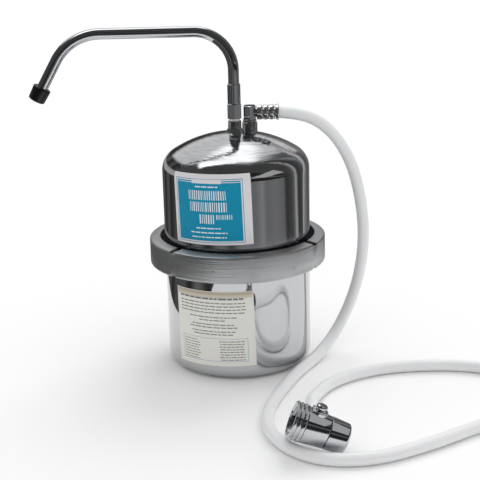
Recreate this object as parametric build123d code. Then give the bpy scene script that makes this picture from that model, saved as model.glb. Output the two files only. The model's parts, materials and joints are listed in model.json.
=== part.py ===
"""Countertop water filter: a stainless pot and dome held by a V-section band clamp, with a
swivelling gooseneck spout, an inlet elbow, and a white hose to a tap diverter.

Millimetres, +Z up. The origin is on the counter, on the axis of the housing. The front, which
carries the labels, faces -Y, and the spout reaches towards -X.
"""
import os
from math import asin, atan2, cos, degrees, hypot, radians, sin, sqrt, tan

from build123d import *

# Housing: deep drawn stainless shells
shell_radius = 70.0
shell_wall = 1.2
pot_base_corner = 12.0
parting_height = 113.3
dome_top_height = 225.1
dome_crown_radius = 113.8
dome_shoulder_radius = 21.3
flange_gap_inside_clamp = 0.6
flange_lip_reach = 5.6
gasket_thickness = 2.0
gasket_inset = 1.2

# Band clamp: a V channel with two notches that let its arms open, and a bolt at the back
clamp_reach = 14.6
clamp_wall = 1.3
clamp_half_height = 12.2
clamp_rim_reach = 4.5
clamp_leg_slope = 8.0
clamp_corner_radius = 1.8
clamp_seat_clearance = 0.2
clamp_clocking = 6.4
clamp_front_half_angle = 51.9
clamp_slit = 0.3
clamp_notch_width = 4.6
clamp_end_gap = 17.0
clamp_strap_margin = 1.9
weld_dimple_radius = 4.0
weld_dimple_depth = 0.25
weld_azimuth_shares = (-0.43, 0.6)
weld_height_shares = (-0.15, -0.3)

# Clamp closure: a T-bolt in the left loop, a drilled trunnion in the right loop
bolt_radius = 3.0
bolt_fit = 0.1
trunnion_radius = 5.1
trunnion_fit = 0.1
loop_wall = 1.3
loop_half_height = 11.0
loop_sink = 0.6
loop_centre_offset = 16.0
loop_window_margin = 0.9
trunnion_boss_radius = 4.3
trunnion_boss_reach = 8.5
clamp_washer_radius = 6.0
clamp_washer_thickness = 1.2
clamp_nut_flats = 10.0
clamp_nut_height = 5.6
clamp_nut_thread_fit = 0.06
bolt_spare_length = 15.0
hex_chamfer = 0.7

# Outlet port, gland and spout stem
outlet_port_radius = 6.3
outlet_port_height = 10.3
outlet_foot_radius = 8.6
outlet_foot_height = 3.6
outlet_socket_radius = 10.0
outlet_socket_depth = 18.0
outlet_socket_bore_depth = 9.0
outlet_thread_radius = 4.1
outlet_water_radius = 3.2
thread_fit = 0.08
spout_washer_radius = 5.15
spout_washer_thickness = 2.3
gland_flats = 13.0
gland_height = 14.0
gland_shank_length = 10.5
gland_socket_depth = 12.0
stem_shank_radius = 4.7
stem_running_fit = 0.08
stem_bore_radius = 2.6
stem_shoulder_gap = 0.25
sleeve_radius = 6.15
sleeve_height = 18.0
sleeve_solder_depth = 13.0
o_ring_section_radius = 0.55
o_ring_groove_width = 1.5
o_ring_clearance = 0.04
spout_o_ring_places = (3.4, 6.6)
snap_ring_place = 9.8
snap_ring_thickness = 0.9
snap_ring_groove_width = 1.1
snap_ring_outer_radius = 5.3
snap_ring_inner_radius = 4.0
snap_ring_groove_clearance = 0.15
snap_ring_gap_angle = 36.0

# Spout
spout_tube_radius = 5.1
spout_tube_wall = 0.9
spout_rise = 48.85
spout_corner_reach = 150.4
spout_down_angle = 60.0
spout_down_length = 63.5
spout_first_bend = 36.0
spout_second_bend = 48.0
solder_fit = 0.04
tip_length = 13.8
tip_top_radius = 8.5
tip_end_radius = 7.8
tip_bore_radius = 4.3
tip_socket_depth = 8.0
tip_edge_radius = 1.4

# Inlet port, elbow and hose end
inlet_offset_x = 14.4
inlet_offset_y = 10.0
inlet_port_radius = 7.2
inlet_port_height = 7.3
inlet_port_edge = 1.0
inlet_spigot_radius = 5.9
inlet_spigot_reach = 4.0
inlet_thread_radius = 4.7
inlet_water_radius = 3.0
elbow_flats = 11.5
elbow_collar_radius = 6.4
elbow_collar_height = 2.4
elbow_collar_gap = 0.2
elbow_height = 13.0
elbow_outlet_height = 6.2
elbow_shank_length = 9.0
elbow_bore_radius = 2.4
barb_neck_radius = 4.6
barb_neck_length = 2.2
barb_radius = 3.35
barb_ridge_radius = 3.5
barb_length = 18.0
barb_ridges = 4
hose_fit = 0.1
check_valve_length = 9.0
check_valve_lip = 1.4

# Hose and its ferrules
hose_radius = 5.5
hose_bore_radius = 3.6
ferrule_length = 20.6
ferrule_radius = 7.1
ferrule_end_radius = 7.7
ferrule_end_length = 1.4
ferrule_collar_length = 1.6
ferrule_crimps = 3
tap_ferrule_length = 9.6
tap_ferrule_crimps = 1
ferrule_crimp_depth = 0.9
ferrule_crimp_radius = 2.0
hose_route = [
    (86, 11, 229), (109, 14, 198), (121, 18, 158),
    (126, 22, 112), (121, 24, 68), (104, 14, 27), (79, -18, 5.5), (54, -61, 5.5),
    (36, -104, 5.5), (21, -149, 5.5), (24, -199, 5.5), (53, -237, 5.5), (100, -242, 5.5),
    (150, -218, 5.5), (198, -186, 5.5), (240, -164, 5.5), (268, -127, 5.5), (260, -84, 5.5),
    (224, -59, 5.5), (176, -53, 5.5), (126, -60, 5.5), (84, -86, 5.5), (64, -122, 6.5),
]
hose_end_gap = 1.05
hose_lead_from_elbow = 32.1
hose_lead_to_diverter = 31.0

# Filter cartridge
block_radius = 50.0
block_bore_radius = 9.0
block_bottom = 14.0
block_top_gap = 41.1
wrap_thickness = 1.2
wrap_clearance = 0.15
core_tube_radius = 8.8
core_tube_wall = 1.6
core_slot_width = 3.0
core_slot_length = 12.0
core_slot_rows = 7
core_slot_columns = 4
cap_radius = 53.4
cap_thickness = 3.0
cap_skirt_height = 9.0
cap_skirt_clearance = 0.15
cap_neck_radius = 7.9
cap_neck_bore_radius = 4.2
cap_neck_shoulder_radius = 12.0
cap_neck_shoulder_height = 6.0
cap_neck_clearance = 1.2
cap_neck_fit = 0.15
cap_foot_radius = 38.0
cap_foot_width = 4.0
cap_foot_gap = 0.15
cartridge_ring_section = 0.8
cartridge_ring_place = 4.5

# Diverter lying in front, its open collar propped on the hose
diverter_tilt = 22.5
diverter_heading = -2.0
diverter_mouth_x = 39.8
diverter_mouth_y = -217.0
diverter_floor_gap = 0.3
collar_radius = 15.9
collar_length = 9.9
collar_thread_radius = 12.0
collar_thread_run_out = 0.15
collar_pocket_radius = 11.5
collar_mouth_radius = 13.7
collar_mouth_chamfer = 1.2
collar_lip_length = 1.8
collar_groove_width = 1.5
collar_groove_depth = 1.5
collar_grooves = 2
collar_first_groove = 2.6
collar_groove_pitch = 3.6
collar_running_fit = 0.08
collar_face_gap = 0.25
body_neck_radius = 10.2
body_flange_radius = 11.2
body_flange_thickness = 1.4
body_cone_radius = 15.4
body_groove_radius = 13.8
body_bore_radius = 7.6
body_length = 29.8
washer_bore_radius = 7.0
washer_thickness = 1.4
screen_thickness = 0.5
screen_hole_radius = 0.7
screen_hole_pitch = 2.2
nozzle_length = 17.6
nozzle_end_radius = 12.9
nozzle_edge_radius = 2.6
nozzle_bore_radius = 8.6
nozzle_spigot_radius = 9.6
nozzle_spigot_length = 5.0
nozzle_groove_gap = 0.5
nozzle_screen_recess = 1.4
valve_station = 18.6
bonnet_radius = 6.9
bonnet_top = 16.4
bonnet_shank_radius = 4.4
bonnet_shank_depth = 6.0
bonnet_neck_radius = 3.9
bonnet_neck_height = 0.6
valve_stem_radius = 2.2
valve_stem_fit = 0.06
valve_stem_inner_reach = 2.0
valve_knob_radius = 4.9
valve_knob_height = 3.6
valve_knob_gap = 0.3
valve_knob_edge = 1.2
valve_seal_radius = 3.6
valve_seal_thickness = 2.4
valve_travel = 5.0
port_boss_radius = 6.6
port_boss_reach = 15.6

# Labels: thin paper wrapped on the shells, their print left generic
label_thickness = 0.15
label_lift = 0.04
upper_label_azimuth = -20.8
upper_label_half_angle = 32.1
upper_label_rise = 19.7
upper_label_drop = 26.5
lower_label_azimuth = -21.3
lower_label_half_angle = 33.0
lower_label_rise = 3.0
lower_label_drop = 25.0
label_tilt = 1.6

# One overrun for every cut
overrun = 2.0

# Worked-out places of the housing
crown_centre_height = dome_top_height - dome_crown_radius
shoulder_centre_radius = shell_radius - dome_shoulder_radius
shoulder_centre_height = crown_centre_height + sqrt(
    (dome_crown_radius - dome_shoulder_radius) ** 2 - shoulder_centre_radius**2
)
crown_meets_shoulder_angle = degrees(
    atan2(shoulder_centre_height - crown_centre_height, shoulder_centre_radius)
)
flange_face = gasket_thickness / 2
flange_lip_radius = shell_radius + flange_lip_reach
clamp_outer_radius = shell_radius + clamp_reach
clamp_rim_radius = shell_radius + clamp_rim_reach
clamp_inner_radius = clamp_outer_radius - clamp_wall
flange_radius = clamp_inner_radius - flange_gap_inside_clamp
leg_thickness_along_axis = clamp_wall / cos(radians(clamp_leg_slope))

# Worked-out places of the clamp closure, before the clamp is turned by its clocking
loop_radius = trunnion_radius + trunnion_fit + loop_wall
loop_ring_radius = clamp_outer_radius + loop_radius - loop_sink
loop_y = sqrt(loop_ring_radius**2 - loop_centre_offset**2)
clamp_hinge_x = clamp_outer_radius * sin(radians(clamp_front_half_angle))
clamp_hinge_y = -clamp_outer_radius * cos(radians(clamp_front_half_angle))

# Worked-out heights of the cartridge and the labels
block_top = dome_top_height - block_top_gap
upper_label_bottom = parting_height + upper_label_rise
upper_label_top = dome_top_height - upper_label_drop
lower_label_bottom = pot_base_corner + lower_label_rise
lower_label_top = parting_height - lower_label_drop

# Worked-out heights of the spout stack
outlet_top = dome_top_height + outlet_port_height
gland_bottom = outlet_top + spout_washer_thickness
gland_top = gland_bottom + gland_height
sleeve_bottom = gland_top + stem_shoulder_gap
sleeve_top = sleeve_bottom + sleeve_height
spout_top_height = sleeve_top + spout_rise
stem_bottom = gland_top - gland_socket_depth + stem_shoulder_gap
inlet_surface_height = crown_centre_height + sqrt(
    dome_crown_radius**2 - inlet_offset_x**2 - inlet_offset_y**2
)
inlet_port_top = dome_top_height + inlet_port_height
elbow_bottom = inlet_port_top + elbow_collar_gap
elbow_hex_bottom = elbow_bottom + elbow_collar_height
hose_exit_height = elbow_hex_bottom + elbow_outlet_height
elbow_face_x = inlet_offset_x + elbow_flats / 2
inlet_ferrule_start_x = elbow_face_x + barb_neck_length / 2

# The diverter's own frame: its Z runs from the open mouth into the body, its X points to the knob
diverter_length = body_length + nozzle_length
mouth_height = (
    nozzle_end_radius * cos(radians(diverter_tilt))
    + diverter_length * sin(radians(diverter_tilt))
    + diverter_floor_gap
)
diverter_axis = Vector(
    cos(radians(diverter_tilt)) * cos(radians(diverter_heading)),
    cos(radians(diverter_tilt)) * sin(radians(diverter_heading)),
    -sin(radians(diverter_tilt)),
)
knob_axis = Vector(
    sin(radians(diverter_tilt)) * cos(radians(diverter_heading)),
    sin(radians(diverter_tilt)) * sin(radians(diverter_heading)),
    cos(radians(diverter_tilt)),
)
mouth_centre = Vector(diverter_mouth_x, diverter_mouth_y, mouth_height)
diverter_frame = Plane(origin=mouth_centre, x_dir=knob_axis, z_dir=diverter_axis)
port_axis = diverter_frame.y_dir * -1
diverter_neck_start = port_boss_reach
diverter_ferrule_start = diverter_neck_start + barb_neck_length / 2


def spun(outline, arc=360.0, start=0.0):
    """Solid of revolution about Z of an outline drawn as (radius, height), from an angle."""
    return Rot(0, 0, start) * revolve(Plane.XZ * outline, Axis.Z, revolution_arc=arc)


def turned(*points):
    """Solid of revolution about Z of straight-sided outline points (radius, height)."""
    return spun(Polygon(*points, align=None))


def rod(radius, bottom, top):
    """Plain cylinder on the Z axis between two heights."""
    return Pos(0, 0, (bottom + top) / 2) * Cylinder(radius, top - bottom)


def pipe(outer, inner, bottom, top):
    """Plain tube on the Z axis between two heights."""
    return rod(outer, bottom, top) - rod(inner, bottom - overrun, top + overrun)


def hex_bar(flats, bottom, top, chamfer_top=True, chamfer_bottom=True):
    """Hexagon bar on Z with flats facing +X and -X and its corners turned off at the ends."""
    bar = extrude(Rot(0, 0, 30) * RegularPolygon(flats / 2, 6, major_radius=False), top - bottom)
    bar = Pos(0, 0, bottom) * bar
    corner = flats / 2 / cos(radians(30))
    limit = corner + overrun
    if chamfer_top:
        bar -= turned(
            (corner - hex_chamfer, top), (limit, top - hex_chamfer * limit / corner),
            (limit, top + overrun), (corner - hex_chamfer, top + overrun),
        )
    if chamfer_bottom:
        bar -= turned(
            (corner - hex_chamfer, bottom), (limit, bottom + hex_chamfer * limit / corner),
            (limit, bottom - overrun), (corner - hex_chamfer, bottom - overrun),
        )
    return bar


def ring_seal(centre_radius, section_radius, height):
    """O-ring on the Z axis."""
    return spun(Pos(centre_radius, height) * Circle(section_radius))


def dome_face(inset, bottom):
    """Half section of the dome's solid form, pulled in by an inset, down to a height."""
    radius = shell_radius - inset
    shoulder = CenterArc(
        (shoulder_centre_radius, shoulder_centre_height),
        dome_shoulder_radius - inset, 0, crown_meets_shoulder_angle,
    )
    crown = CenterArc(
        (0, crown_centre_height),
        dome_crown_radius - inset, crown_meets_shoulder_angle, 90 - crown_meets_shoulder_angle,
    )
    side = Line((radius, bottom), shoulder @ 0)
    floor = Line((0, bottom), (radius, bottom))
    middle = Line(crown @ 1, (0, bottom))
    return make_face([floor, side, shoulder, crown, middle])


def pot_face(inset, top):
    """Half section of the pot's solid form, pulled in by an inset, up to a height."""
    radius = shell_radius - inset
    corner_centre = shell_radius - pot_base_corner
    corner = CenterArc((corner_centre, pot_base_corner), pot_base_corner - inset, -90, 90)
    base = Line((0, inset), corner @ 0)
    side = Line(corner @ 1, (radius, top))
    lid = Line((radius, top), (0, top))
    middle = Line((0, top), (0, inset))
    return make_face([base, corner, side, lid, middle])


def leg_underside(radius):
    """Distance from the parting plane to the inside of a clamp leg at a radius."""
    rise = (clamp_outer_radius - radius) * tan(radians(clamp_leg_slope))
    return clamp_half_height + rise - leg_thickness_along_axis


def rolled_flange():
    """Rolled ring welded round a shell's rim, with the parting plane at zero and the shell above."""
    top_outer = leg_underside(flange_radius) - clamp_seat_clearance
    top_lip = leg_underside(flange_lip_radius) - clamp_seat_clearance
    inside = flange_radius - shell_wall
    top_inside = leg_underside(inside) - clamp_seat_clearance
    return turned(
        (shell_radius, flange_face), (flange_radius, flange_face),
        (flange_radius, top_outer), (flange_lip_radius, top_lip),
        (flange_lip_radius, top_lip - leg_thickness_along_axis),
        (inside, top_inside - leg_thickness_along_axis),
        (inside, flange_face + shell_wall), (shell_radius, flange_face + shell_wall),
    )


def outlet_hole():
    """Cutter for the hole in the dome that the outlet port is welded into."""
    return rod(outlet_foot_radius, shoulder_centre_height, dome_top_height + overrun)


def inlet_hole():
    """Cutter for the hole in the dome that the inlet port is welded into."""
    cutter = rod(inlet_spigot_radius, shoulder_centre_height, dome_top_height + overrun)
    return Pos(inlet_offset_x, inlet_offset_y, 0) * cutter


def upper_dome():
    bottom = parting_height + flange_face
    dome = spun(dome_face(0, bottom)) - spun(dome_face(shell_wall, bottom - overrun))
    return dome - outlet_hole() - inlet_hole()


def lower_pot():
    top = parting_height - flange_face
    return spun(pot_face(0, top)) - spun(pot_face(shell_wall, top + overrun))


def upper_flange():
    return Pos(0, 0, parting_height) * rolled_flange()


def lower_flange():
    return Pos(0, 0, parting_height) * Rot(180, 0, 0) * rolled_flange()


def flange_gasket():
    return pipe(
        flange_radius - gasket_inset, shell_radius,
        parting_height - gasket_thickness / 2, parting_height + gasket_thickness / 2,
    )


def clamp_channel_face():
    """Section of the clamp's V channel as (radius, height) about the parting plane."""
    rise = (clamp_outer_radius - clamp_rim_radius) * tan(radians(clamp_leg_slope))
    tip = clamp_half_height + rise
    outside = [(clamp_outer_radius, clamp_half_height), (clamp_rim_radius, tip)]
    inside = [
        (clamp_rim_radius, tip - leg_thickness_along_axis),
        (clamp_inner_radius, leg_underside(clamp_inner_radius)),
    ]
    upper = outside + inside
    lower = [(radius, -height) for radius, height in reversed(upper)]
    face = Polygon(*upper, *lower, align=None)
    sharp = face.vertices().filter_by(lambda v: abs(v.X - clamp_outer_radius) < clamp_slit)
    return fillet(sharp, clamp_corner_radius)


def clamp_sector(first, last, notch_first, notch_last):
    """Stretch of the clamp between two angles, its legs cut back by a notch at the given ends."""
    notch = degrees(clamp_notch_width / 2 / clamp_outer_radius)
    slit = degrees(clamp_slit / 2 / clamp_outer_radius)
    start = first + (notch if notch_first else 0)
    end = last - (notch if notch_last else 0)
    sector = spun(clamp_channel_face(), end - start, start)
    strap_half = clamp_half_height - clamp_strap_margin
    strap_face = Pos((clamp_outer_radius + clamp_inner_radius) / 2, 0) * Rectangle(
        clamp_wall, 2 * strap_half
    )
    strap_start = first + (slit if notch_first else 0)
    strap_end = last - (slit if notch_last else 0)
    return sector + spun(strap_face, strap_end - strap_start, strap_start)


def on_clamp(piece):
    """Put a piece of the clamp at its height and clocking on the housing."""
    return Pos(0, 0, parting_height) * Rot(0, 0, clamp_clocking) * piece


def weld_dimple(azimuth, height):
    """Cutter for a spot weld's dimple in the strap, its azimuth measured from the front."""
    centre = clamp_outer_radius + weld_dimple_radius - weld_dimple_depth
    return Rot(0, 0, azimuth - 90) * Pos(centre, 0, height) * Sphere(weld_dimple_radius)


def clamp_front_segment():
    half = clamp_front_half_angle
    segment = clamp_sector(-90 - half, -90 + half, True, True)
    for azimuth_share, height_share in zip(weld_azimuth_shares, weld_height_shares):
        segment -= weld_dimple(half * azimuth_share, clamp_half_height * height_share)
    return on_clamp(segment)


def loop_place():
    """Place of the right loop's axis before the clamp is turned."""
    return Pos(loop_centre_offset, loop_y, 0)


def arm_on_right():
    """Right clamp arm with its rolled loop at the back, before the clamp is turned."""
    end_angle = 90 - degrees(asin(clamp_end_gap / 2 / clamp_outer_radius))
    arm = clamp_sector(-90 + clamp_front_half_angle, end_angle, True, False)
    loop = rod(loop_radius, -loop_half_height, loop_half_height)
    arm += loop_place() * loop
    arm -= loop_place() * rod(
        trunnion_radius + trunnion_fit, -clamp_half_height - overrun, clamp_half_height + overrun
    )
    window = trunnion_boss_radius + loop_window_margin
    reach = loop_radius + overrun
    opening = Pos(0, (loop_radius - window) / 2 + loop_sink, 0) * Box(
        2 * reach, loop_radius + window, 2 * window
    )
    return arm - loop_place() * opening


def clamp_right_arm():
    return on_clamp(arm_on_right())


def clamp_left_arm():
    return on_clamp(mirror(arm_on_right(), Plane.YZ))


def along_bolt(piece):
    """Turn a piece made on the Z axis to run along the bolt, towards the right loop."""
    return Pos(0, loop_y, 0) * Rot(0, 90, 0) * piece


def nut_inner_x():
    return loop_centre_offset + trunnion_boss_reach + clamp_washer_thickness


def clamp_t_bolt():
    pin = Pos(-loop_centre_offset, loop_y, 0) * rod(trunnion_radius, -loop_half_height, loop_half_height)
    end = nut_inner_x() + clamp_nut_height + bolt_spare_length
    shank = chamfer(
        rod(bolt_radius, -loop_centre_offset, end).edges().sort_by(Axis.Z)[-1], hex_chamfer
    )
    return on_clamp(pin + along_bolt(shank))


def clamp_trunnion():
    pin = loop_place() * rod(trunnion_radius, -loop_half_height, loop_half_height)
    boss = rod(trunnion_boss_radius, loop_centre_offset, loop_centre_offset + trunnion_boss_reach)
    hole = rod(bolt_radius + bolt_fit, 0, loop_centre_offset + trunnion_boss_reach + overrun)
    return on_clamp(pin + along_bolt(boss) - along_bolt(hole))


def clamp_washer():
    inner = loop_centre_offset + trunnion_boss_reach
    return on_clamp(
        along_bolt(pipe(clamp_washer_radius, bolt_radius + bolt_fit, inner, inner + clamp_washer_thickness))
    )


def clamp_nut():
    nut = hex_bar(clamp_nut_flats, nut_inner_x(), nut_inner_x() + clamp_nut_height)
    nut -= rod(bolt_radius + clamp_nut_thread_fit, 0, nut_inner_x() + clamp_nut_height + overrun)
    return on_clamp(along_bolt(nut))


def outlet_port_fitting():
    """Bush welded into the dome: threaded for the gland above, socketed for the cartridge below."""
    socket_bottom = dome_top_height - outlet_socket_depth
    foot_top = dome_top_height + outlet_foot_height
    port = turned(
        (0, socket_bottom), (outlet_foot_radius, socket_bottom),
        (outlet_foot_radius, dome_top_height), (outlet_port_radius, foot_top),
        (outlet_port_radius, outlet_top), (0, outlet_top),
    )
    socket = rod(outlet_socket_radius, socket_bottom, dome_top_height)
    port += socket & spun(dome_face(shell_wall, parting_height))
    port -= rod(outlet_water_radius, socket_bottom - overrun, outlet_top + overrun)
    port -= rod(
        outlet_thread_radius, gland_bottom - gland_shank_length - overrun, outlet_top + overrun
    )
    port -= rod(
        cap_neck_radius + cap_neck_fit, socket_bottom - overrun,
        socket_bottom + outlet_socket_bore_depth,
    )
    return port


def spout_washer():
    return pipe(spout_washer_radius, outlet_thread_radius, outlet_top, gland_bottom)


def spout_gland():
    """Hexagon gland that screws into the port and lets the spout stem turn in its socket."""
    gland = hex_bar(gland_flats, gland_bottom, gland_top)
    gland += rod(outlet_thread_radius - thread_fit, gland_bottom - gland_shank_length, gland_bottom)
    gland -= rod(stem_bore_radius, gland_bottom - gland_shank_length - overrun, gland_top)
    socket_bottom = gland_top - gland_socket_depth
    gland -= rod(stem_shank_radius + stem_running_fit, socket_bottom, gland_top + overrun)
    ring_middle = stem_bottom + snap_ring_place
    gland -= rod(
        snap_ring_outer_radius + snap_ring_groove_clearance,
        ring_middle - snap_ring_groove_width / 2, ring_middle + snap_ring_groove_width / 2,
    )
    return gland


def o_ring_groove_bottom():
    return stem_shank_radius - 2 * o_ring_section_radius - o_ring_clearance / 2


def spout_sleeve():
    """Sleeve soldered on the spout tube, with the stem that turns in the gland below it."""
    sleeve = turned(
        (0, stem_bottom), (stem_shank_radius, stem_bottom), (stem_shank_radius, sleeve_bottom),
        (sleeve_radius, sleeve_bottom), (sleeve_radius, sleeve_top), (0, sleeve_top),
    )
    sleeve = chamfer(sleeve.edges().filter_by(GeomType.CIRCLE).group_by(Axis.Z)[-1], hex_chamfer / 2)
    sleeve -= rod(stem_bore_radius, stem_bottom - overrun, sleeve_top + overrun)
    sleeve -= rod(
        spout_tube_radius + solder_fit, sleeve_top - sleeve_solder_depth, sleeve_top + overrun
    )
    for place in spout_o_ring_places:
        middle = stem_bottom + place
        sleeve -= pipe(
            stem_shank_radius + overrun, o_ring_groove_bottom(),
            middle - o_ring_groove_width / 2, middle + o_ring_groove_width / 2,
        )
    ring_middle = stem_bottom + snap_ring_place
    sleeve -= pipe(
        stem_shank_radius + overrun, snap_ring_inner_radius - snap_ring_groove_clearance,
        ring_middle - snap_ring_groove_width / 2, ring_middle + snap_ring_groove_width / 2,
    )
    return sleeve


def spout_o_rings():
    centre = o_ring_groove_bottom() + o_ring_section_radius + o_ring_clearance / 2
    rings = [
        ring_seal(centre, o_ring_section_radius, stem_bottom + place) for place in spout_o_ring_places
    ]
    return Compound(children=rings)


def spout_snap_ring():
    section = Pos(
        (snap_ring_outer_radius + snap_ring_inner_radius) / 2, stem_bottom + snap_ring_place
    ) * Rectangle(snap_ring_outer_radius - snap_ring_inner_radius, snap_ring_thickness)
    return spun(section, 360 - snap_ring_gap_angle, 90 + snap_ring_gap_angle / 2)


def spout_corner_points():
    """Corners of the spout's centreline in its own plane as (reach, height)."""
    end_reach = spout_corner_reach + spout_down_length * cos(radians(spout_down_angle))
    end_height = spout_top_height - spout_down_length * sin(radians(spout_down_angle))
    return [
        (0, sleeve_top - sleeve_solder_depth), (0, spout_top_height),
        (spout_corner_reach, spout_top_height), (end_reach, end_height),
    ]


def spout_centreline(corners):
    points = [(-reach, 0, height) for reach, height in corners]
    return FilletPolyline(*points, radius=[spout_first_bend, spout_second_bend])


def spout_tube():
    path = spout_centreline(spout_corner_points())
    ring = Circle(spout_tube_radius) - Circle(spout_tube_radius - spout_tube_wall)
    return sweep(Plane(origin=path @ 0, z_dir=path % 0) * ring, path=path)


def spout_tip():
    """Black outlet cap pushed on the end of the spout tube."""
    path = spout_centreline(spout_corner_points())
    length = tip_length
    cap = turned((0, 0), (tip_top_radius, 0), (tip_end_radius, length), (0, length))
    cap = fillet(cap.edges().filter_by(GeomType.CIRCLE), tip_edge_radius)
    cap -= rod(tip_bore_radius, -overrun, length + overrun)
    cap -= rod(spout_tube_radius + solder_fit, -overrun, tip_socket_depth)
    end = Plane(origin=path @ 1, z_dir=path % 1)
    return end.location * Pos(0, 0, -tip_socket_depth) * cap


def at_inlet(piece):
    return Pos(inlet_offset_x, inlet_offset_y, 0) * piece


def inlet_port_fitting():
    """Bush welded into the dome beside the outlet, threaded for the elbow."""
    spigot_bottom = inlet_surface_height - shell_wall - inlet_spigot_reach
    collar = rod(inlet_port_radius, shoulder_centre_height, inlet_port_top)
    collar = fillet(collar.edges().sort_by(Axis.Z)[-1], inlet_port_edge)
    collar = at_inlet(collar) - spun(dome_face(0, parting_height))
    port = collar + at_inlet(rod(inlet_spigot_radius, spigot_bottom, inlet_port_top - inlet_port_edge))
    port -= at_inlet(rod(inlet_water_radius, spigot_bottom - overrun, inlet_port_top + overrun))
    thread_bottom = elbow_bottom - elbow_shank_length - elbow_collar_gap
    return port - at_inlet(rod(inlet_thread_radius, thread_bottom, inlet_port_top + overrun))


def barbed_nipple(start, neck_base):
    """Neck and barbed tube along +Z from a start, the neck reaching back to its base."""
    nipple = rod(barb_neck_radius, neck_base, start + barb_neck_length)
    barb_start = start + barb_neck_length
    nipple += rod(barb_radius, barb_start, barb_start + barb_length)
    pitch = barb_length / barb_ridges
    for index in range(barb_ridges):
        low = barb_start + pitch * index + pitch / 4
        nipple += turned(
            (0, low), (barb_ridge_radius, low), (barb_radius, low + pitch / 2), (0, low + pitch / 2)
        )
    return nipple


def inlet_elbow():
    """Hexagon elbow with a threaded shank below and a barbed tube towards +X."""
    body = hex_bar(elbow_flats, elbow_hex_bottom, elbow_hex_bottom + elbow_height, True, False)
    body += rod(elbow_collar_radius, elbow_bottom, elbow_hex_bottom)
    body += rod(inlet_thread_radius - thread_fit, elbow_bottom - elbow_shank_length, elbow_bottom)
    to_side = Pos(0, 0, hose_exit_height) * Rot(0, 90, 0)
    body += to_side * barbed_nipple(elbow_flats / 2, 0)
    body -= rod(elbow_bore_radius, elbow_bottom - elbow_shank_length - overrun, hose_exit_height)
    tube_end = elbow_flats / 2 + barb_neck_length + barb_length + overrun
    body -= to_side * rod(elbow_bore_radius, 0, tube_end)
    return at_inlet(body)


def check_valve():
    """Rubber duckbill in the elbow's shank that keeps water from draining back to the tap."""
    bottom = elbow_bottom - elbow_shank_length
    outer = elbow_bore_radius - o_ring_clearance
    top = bottom + check_valve_length
    sleeve = rod(outer, bottom, top)
    sleeve -= rod(outer - check_valve_lip / 2, bottom + check_valve_lip, top + overrun)
    slot = Pos(0, 0, bottom) * Box(outer, check_valve_lip / 4, 4 * check_valve_lip)
    return at_inlet(sleeve - slot)


def ferrule(length, crimps):
    """Crimped hose ferrule on Z: a collar on the neck at zero, the open end at its length."""
    body = turned(
        (0, 0), (ferrule_radius, 0), (ferrule_radius, length - ferrule_end_length),
        (ferrule_end_radius, length), (0, length),
    )
    pitch = (length - ferrule_end_length) / (crimps + 0.5)
    for index in range(crimps):
        height = pitch * (index + 1)
        centre = ferrule_radius + ferrule_crimp_radius - ferrule_crimp_depth
        body -= ring_seal(centre, ferrule_crimp_radius, height)
    body -= rod(barb_neck_radius, -overrun, ferrule_collar_length + overrun)
    return body - rod(hose_radius + hose_fit, ferrule_collar_length, length + overrun)


def inlet_ferrule():
    place = Pos(inlet_ferrule_start_x, inlet_offset_y, hose_exit_height) * Rot(0, 90, 0)
    return place * ferrule(ferrule_length, ferrule_crimps)


def port_plane(distance):
    """Plane across the diverter's hose port at a distance from the diverter's axis."""
    centre = mouth_centre + diverter_axis * valve_station + port_axis * distance
    return Plane(origin=centre, x_dir=diverter_axis, z_dir=port_axis)


def diverter_ferrule():
    place = port_plane(diverter_ferrule_start).location
    return place * ferrule(tap_ferrule_length, tap_ferrule_crimps)


def hose_points():
    """Hose route from inside the inlet ferrule to inside the diverter's ferrule."""
    end_depth = ferrule_collar_length + hose_end_gap
    start = Vector(inlet_ferrule_start_x + end_depth, inlet_offset_y, hose_exit_height)
    first_lead = start + Vector(hose_lead_from_elbow, 0, 0)
    last_lead = port_plane(diverter_ferrule_start + hose_lead_to_diverter).origin
    end = port_plane(diverter_ferrule_start + end_depth).origin
    return [start, first_lead] + [Vector(*point) for point in hose_route] + [last_lead, end]


def arc_radii(points):
    """Radius of each corner's arc: 0.45 of the shorter run over the tangent of half the turn."""
    radii = []
    for before, corner, after in zip(points, points[1:], points[2:]):
        first = corner - before
        second = after - corner
        half_turn = radians(first.get_angle(second)) / 2
        radii.append(0.45 * min(first.length, second.length) / tan(half_turn))
    return radii


def hose():
    points = hose_points()
    radii = arc_radii(points)
    path = FilletPolyline(*points, radius=radii)
    section = Circle(hose_radius) - Circle(hose_bore_radius)
    tube = sweep(Plane(origin=path @ 0, z_dir=path % 0) * section, path=path)
    expected = section.area * path.length
    print("hose arc radii", [round(radius, 1) for radius in radii])
    print("hose length", round(path.length, 1), "volume over section x length", tube.volume / expected)
    return tube


def carbon_block():
    return pipe(block_radius, block_bore_radius, block_bottom, block_top)


def prefilter_wrap():
    inner = block_radius + wrap_clearance
    return pipe(inner + wrap_thickness, inner, block_bottom, block_top)


def cartridge_core_tube():
    """Slotted tube in the block's bore that carries filtered water up to the outlet."""
    tube = pipe(core_tube_radius, core_tube_radius - core_tube_wall, block_bottom, block_top)
    pitch = (block_top - block_bottom) / core_slot_rows
    for row in range(core_slot_rows):
        height = block_bottom + pitch * (row + 0.5)
        for column in range(core_slot_columns // 2):
            turn = 180 * column / (core_slot_columns // 2) + 45 * (row % 2)
            slot = Box(2 * core_tube_radius + overrun, core_slot_width, core_slot_length)
            tube -= Pos(0, 0, height) * Rot(0, 0, turn) * slot
    return tube


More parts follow.
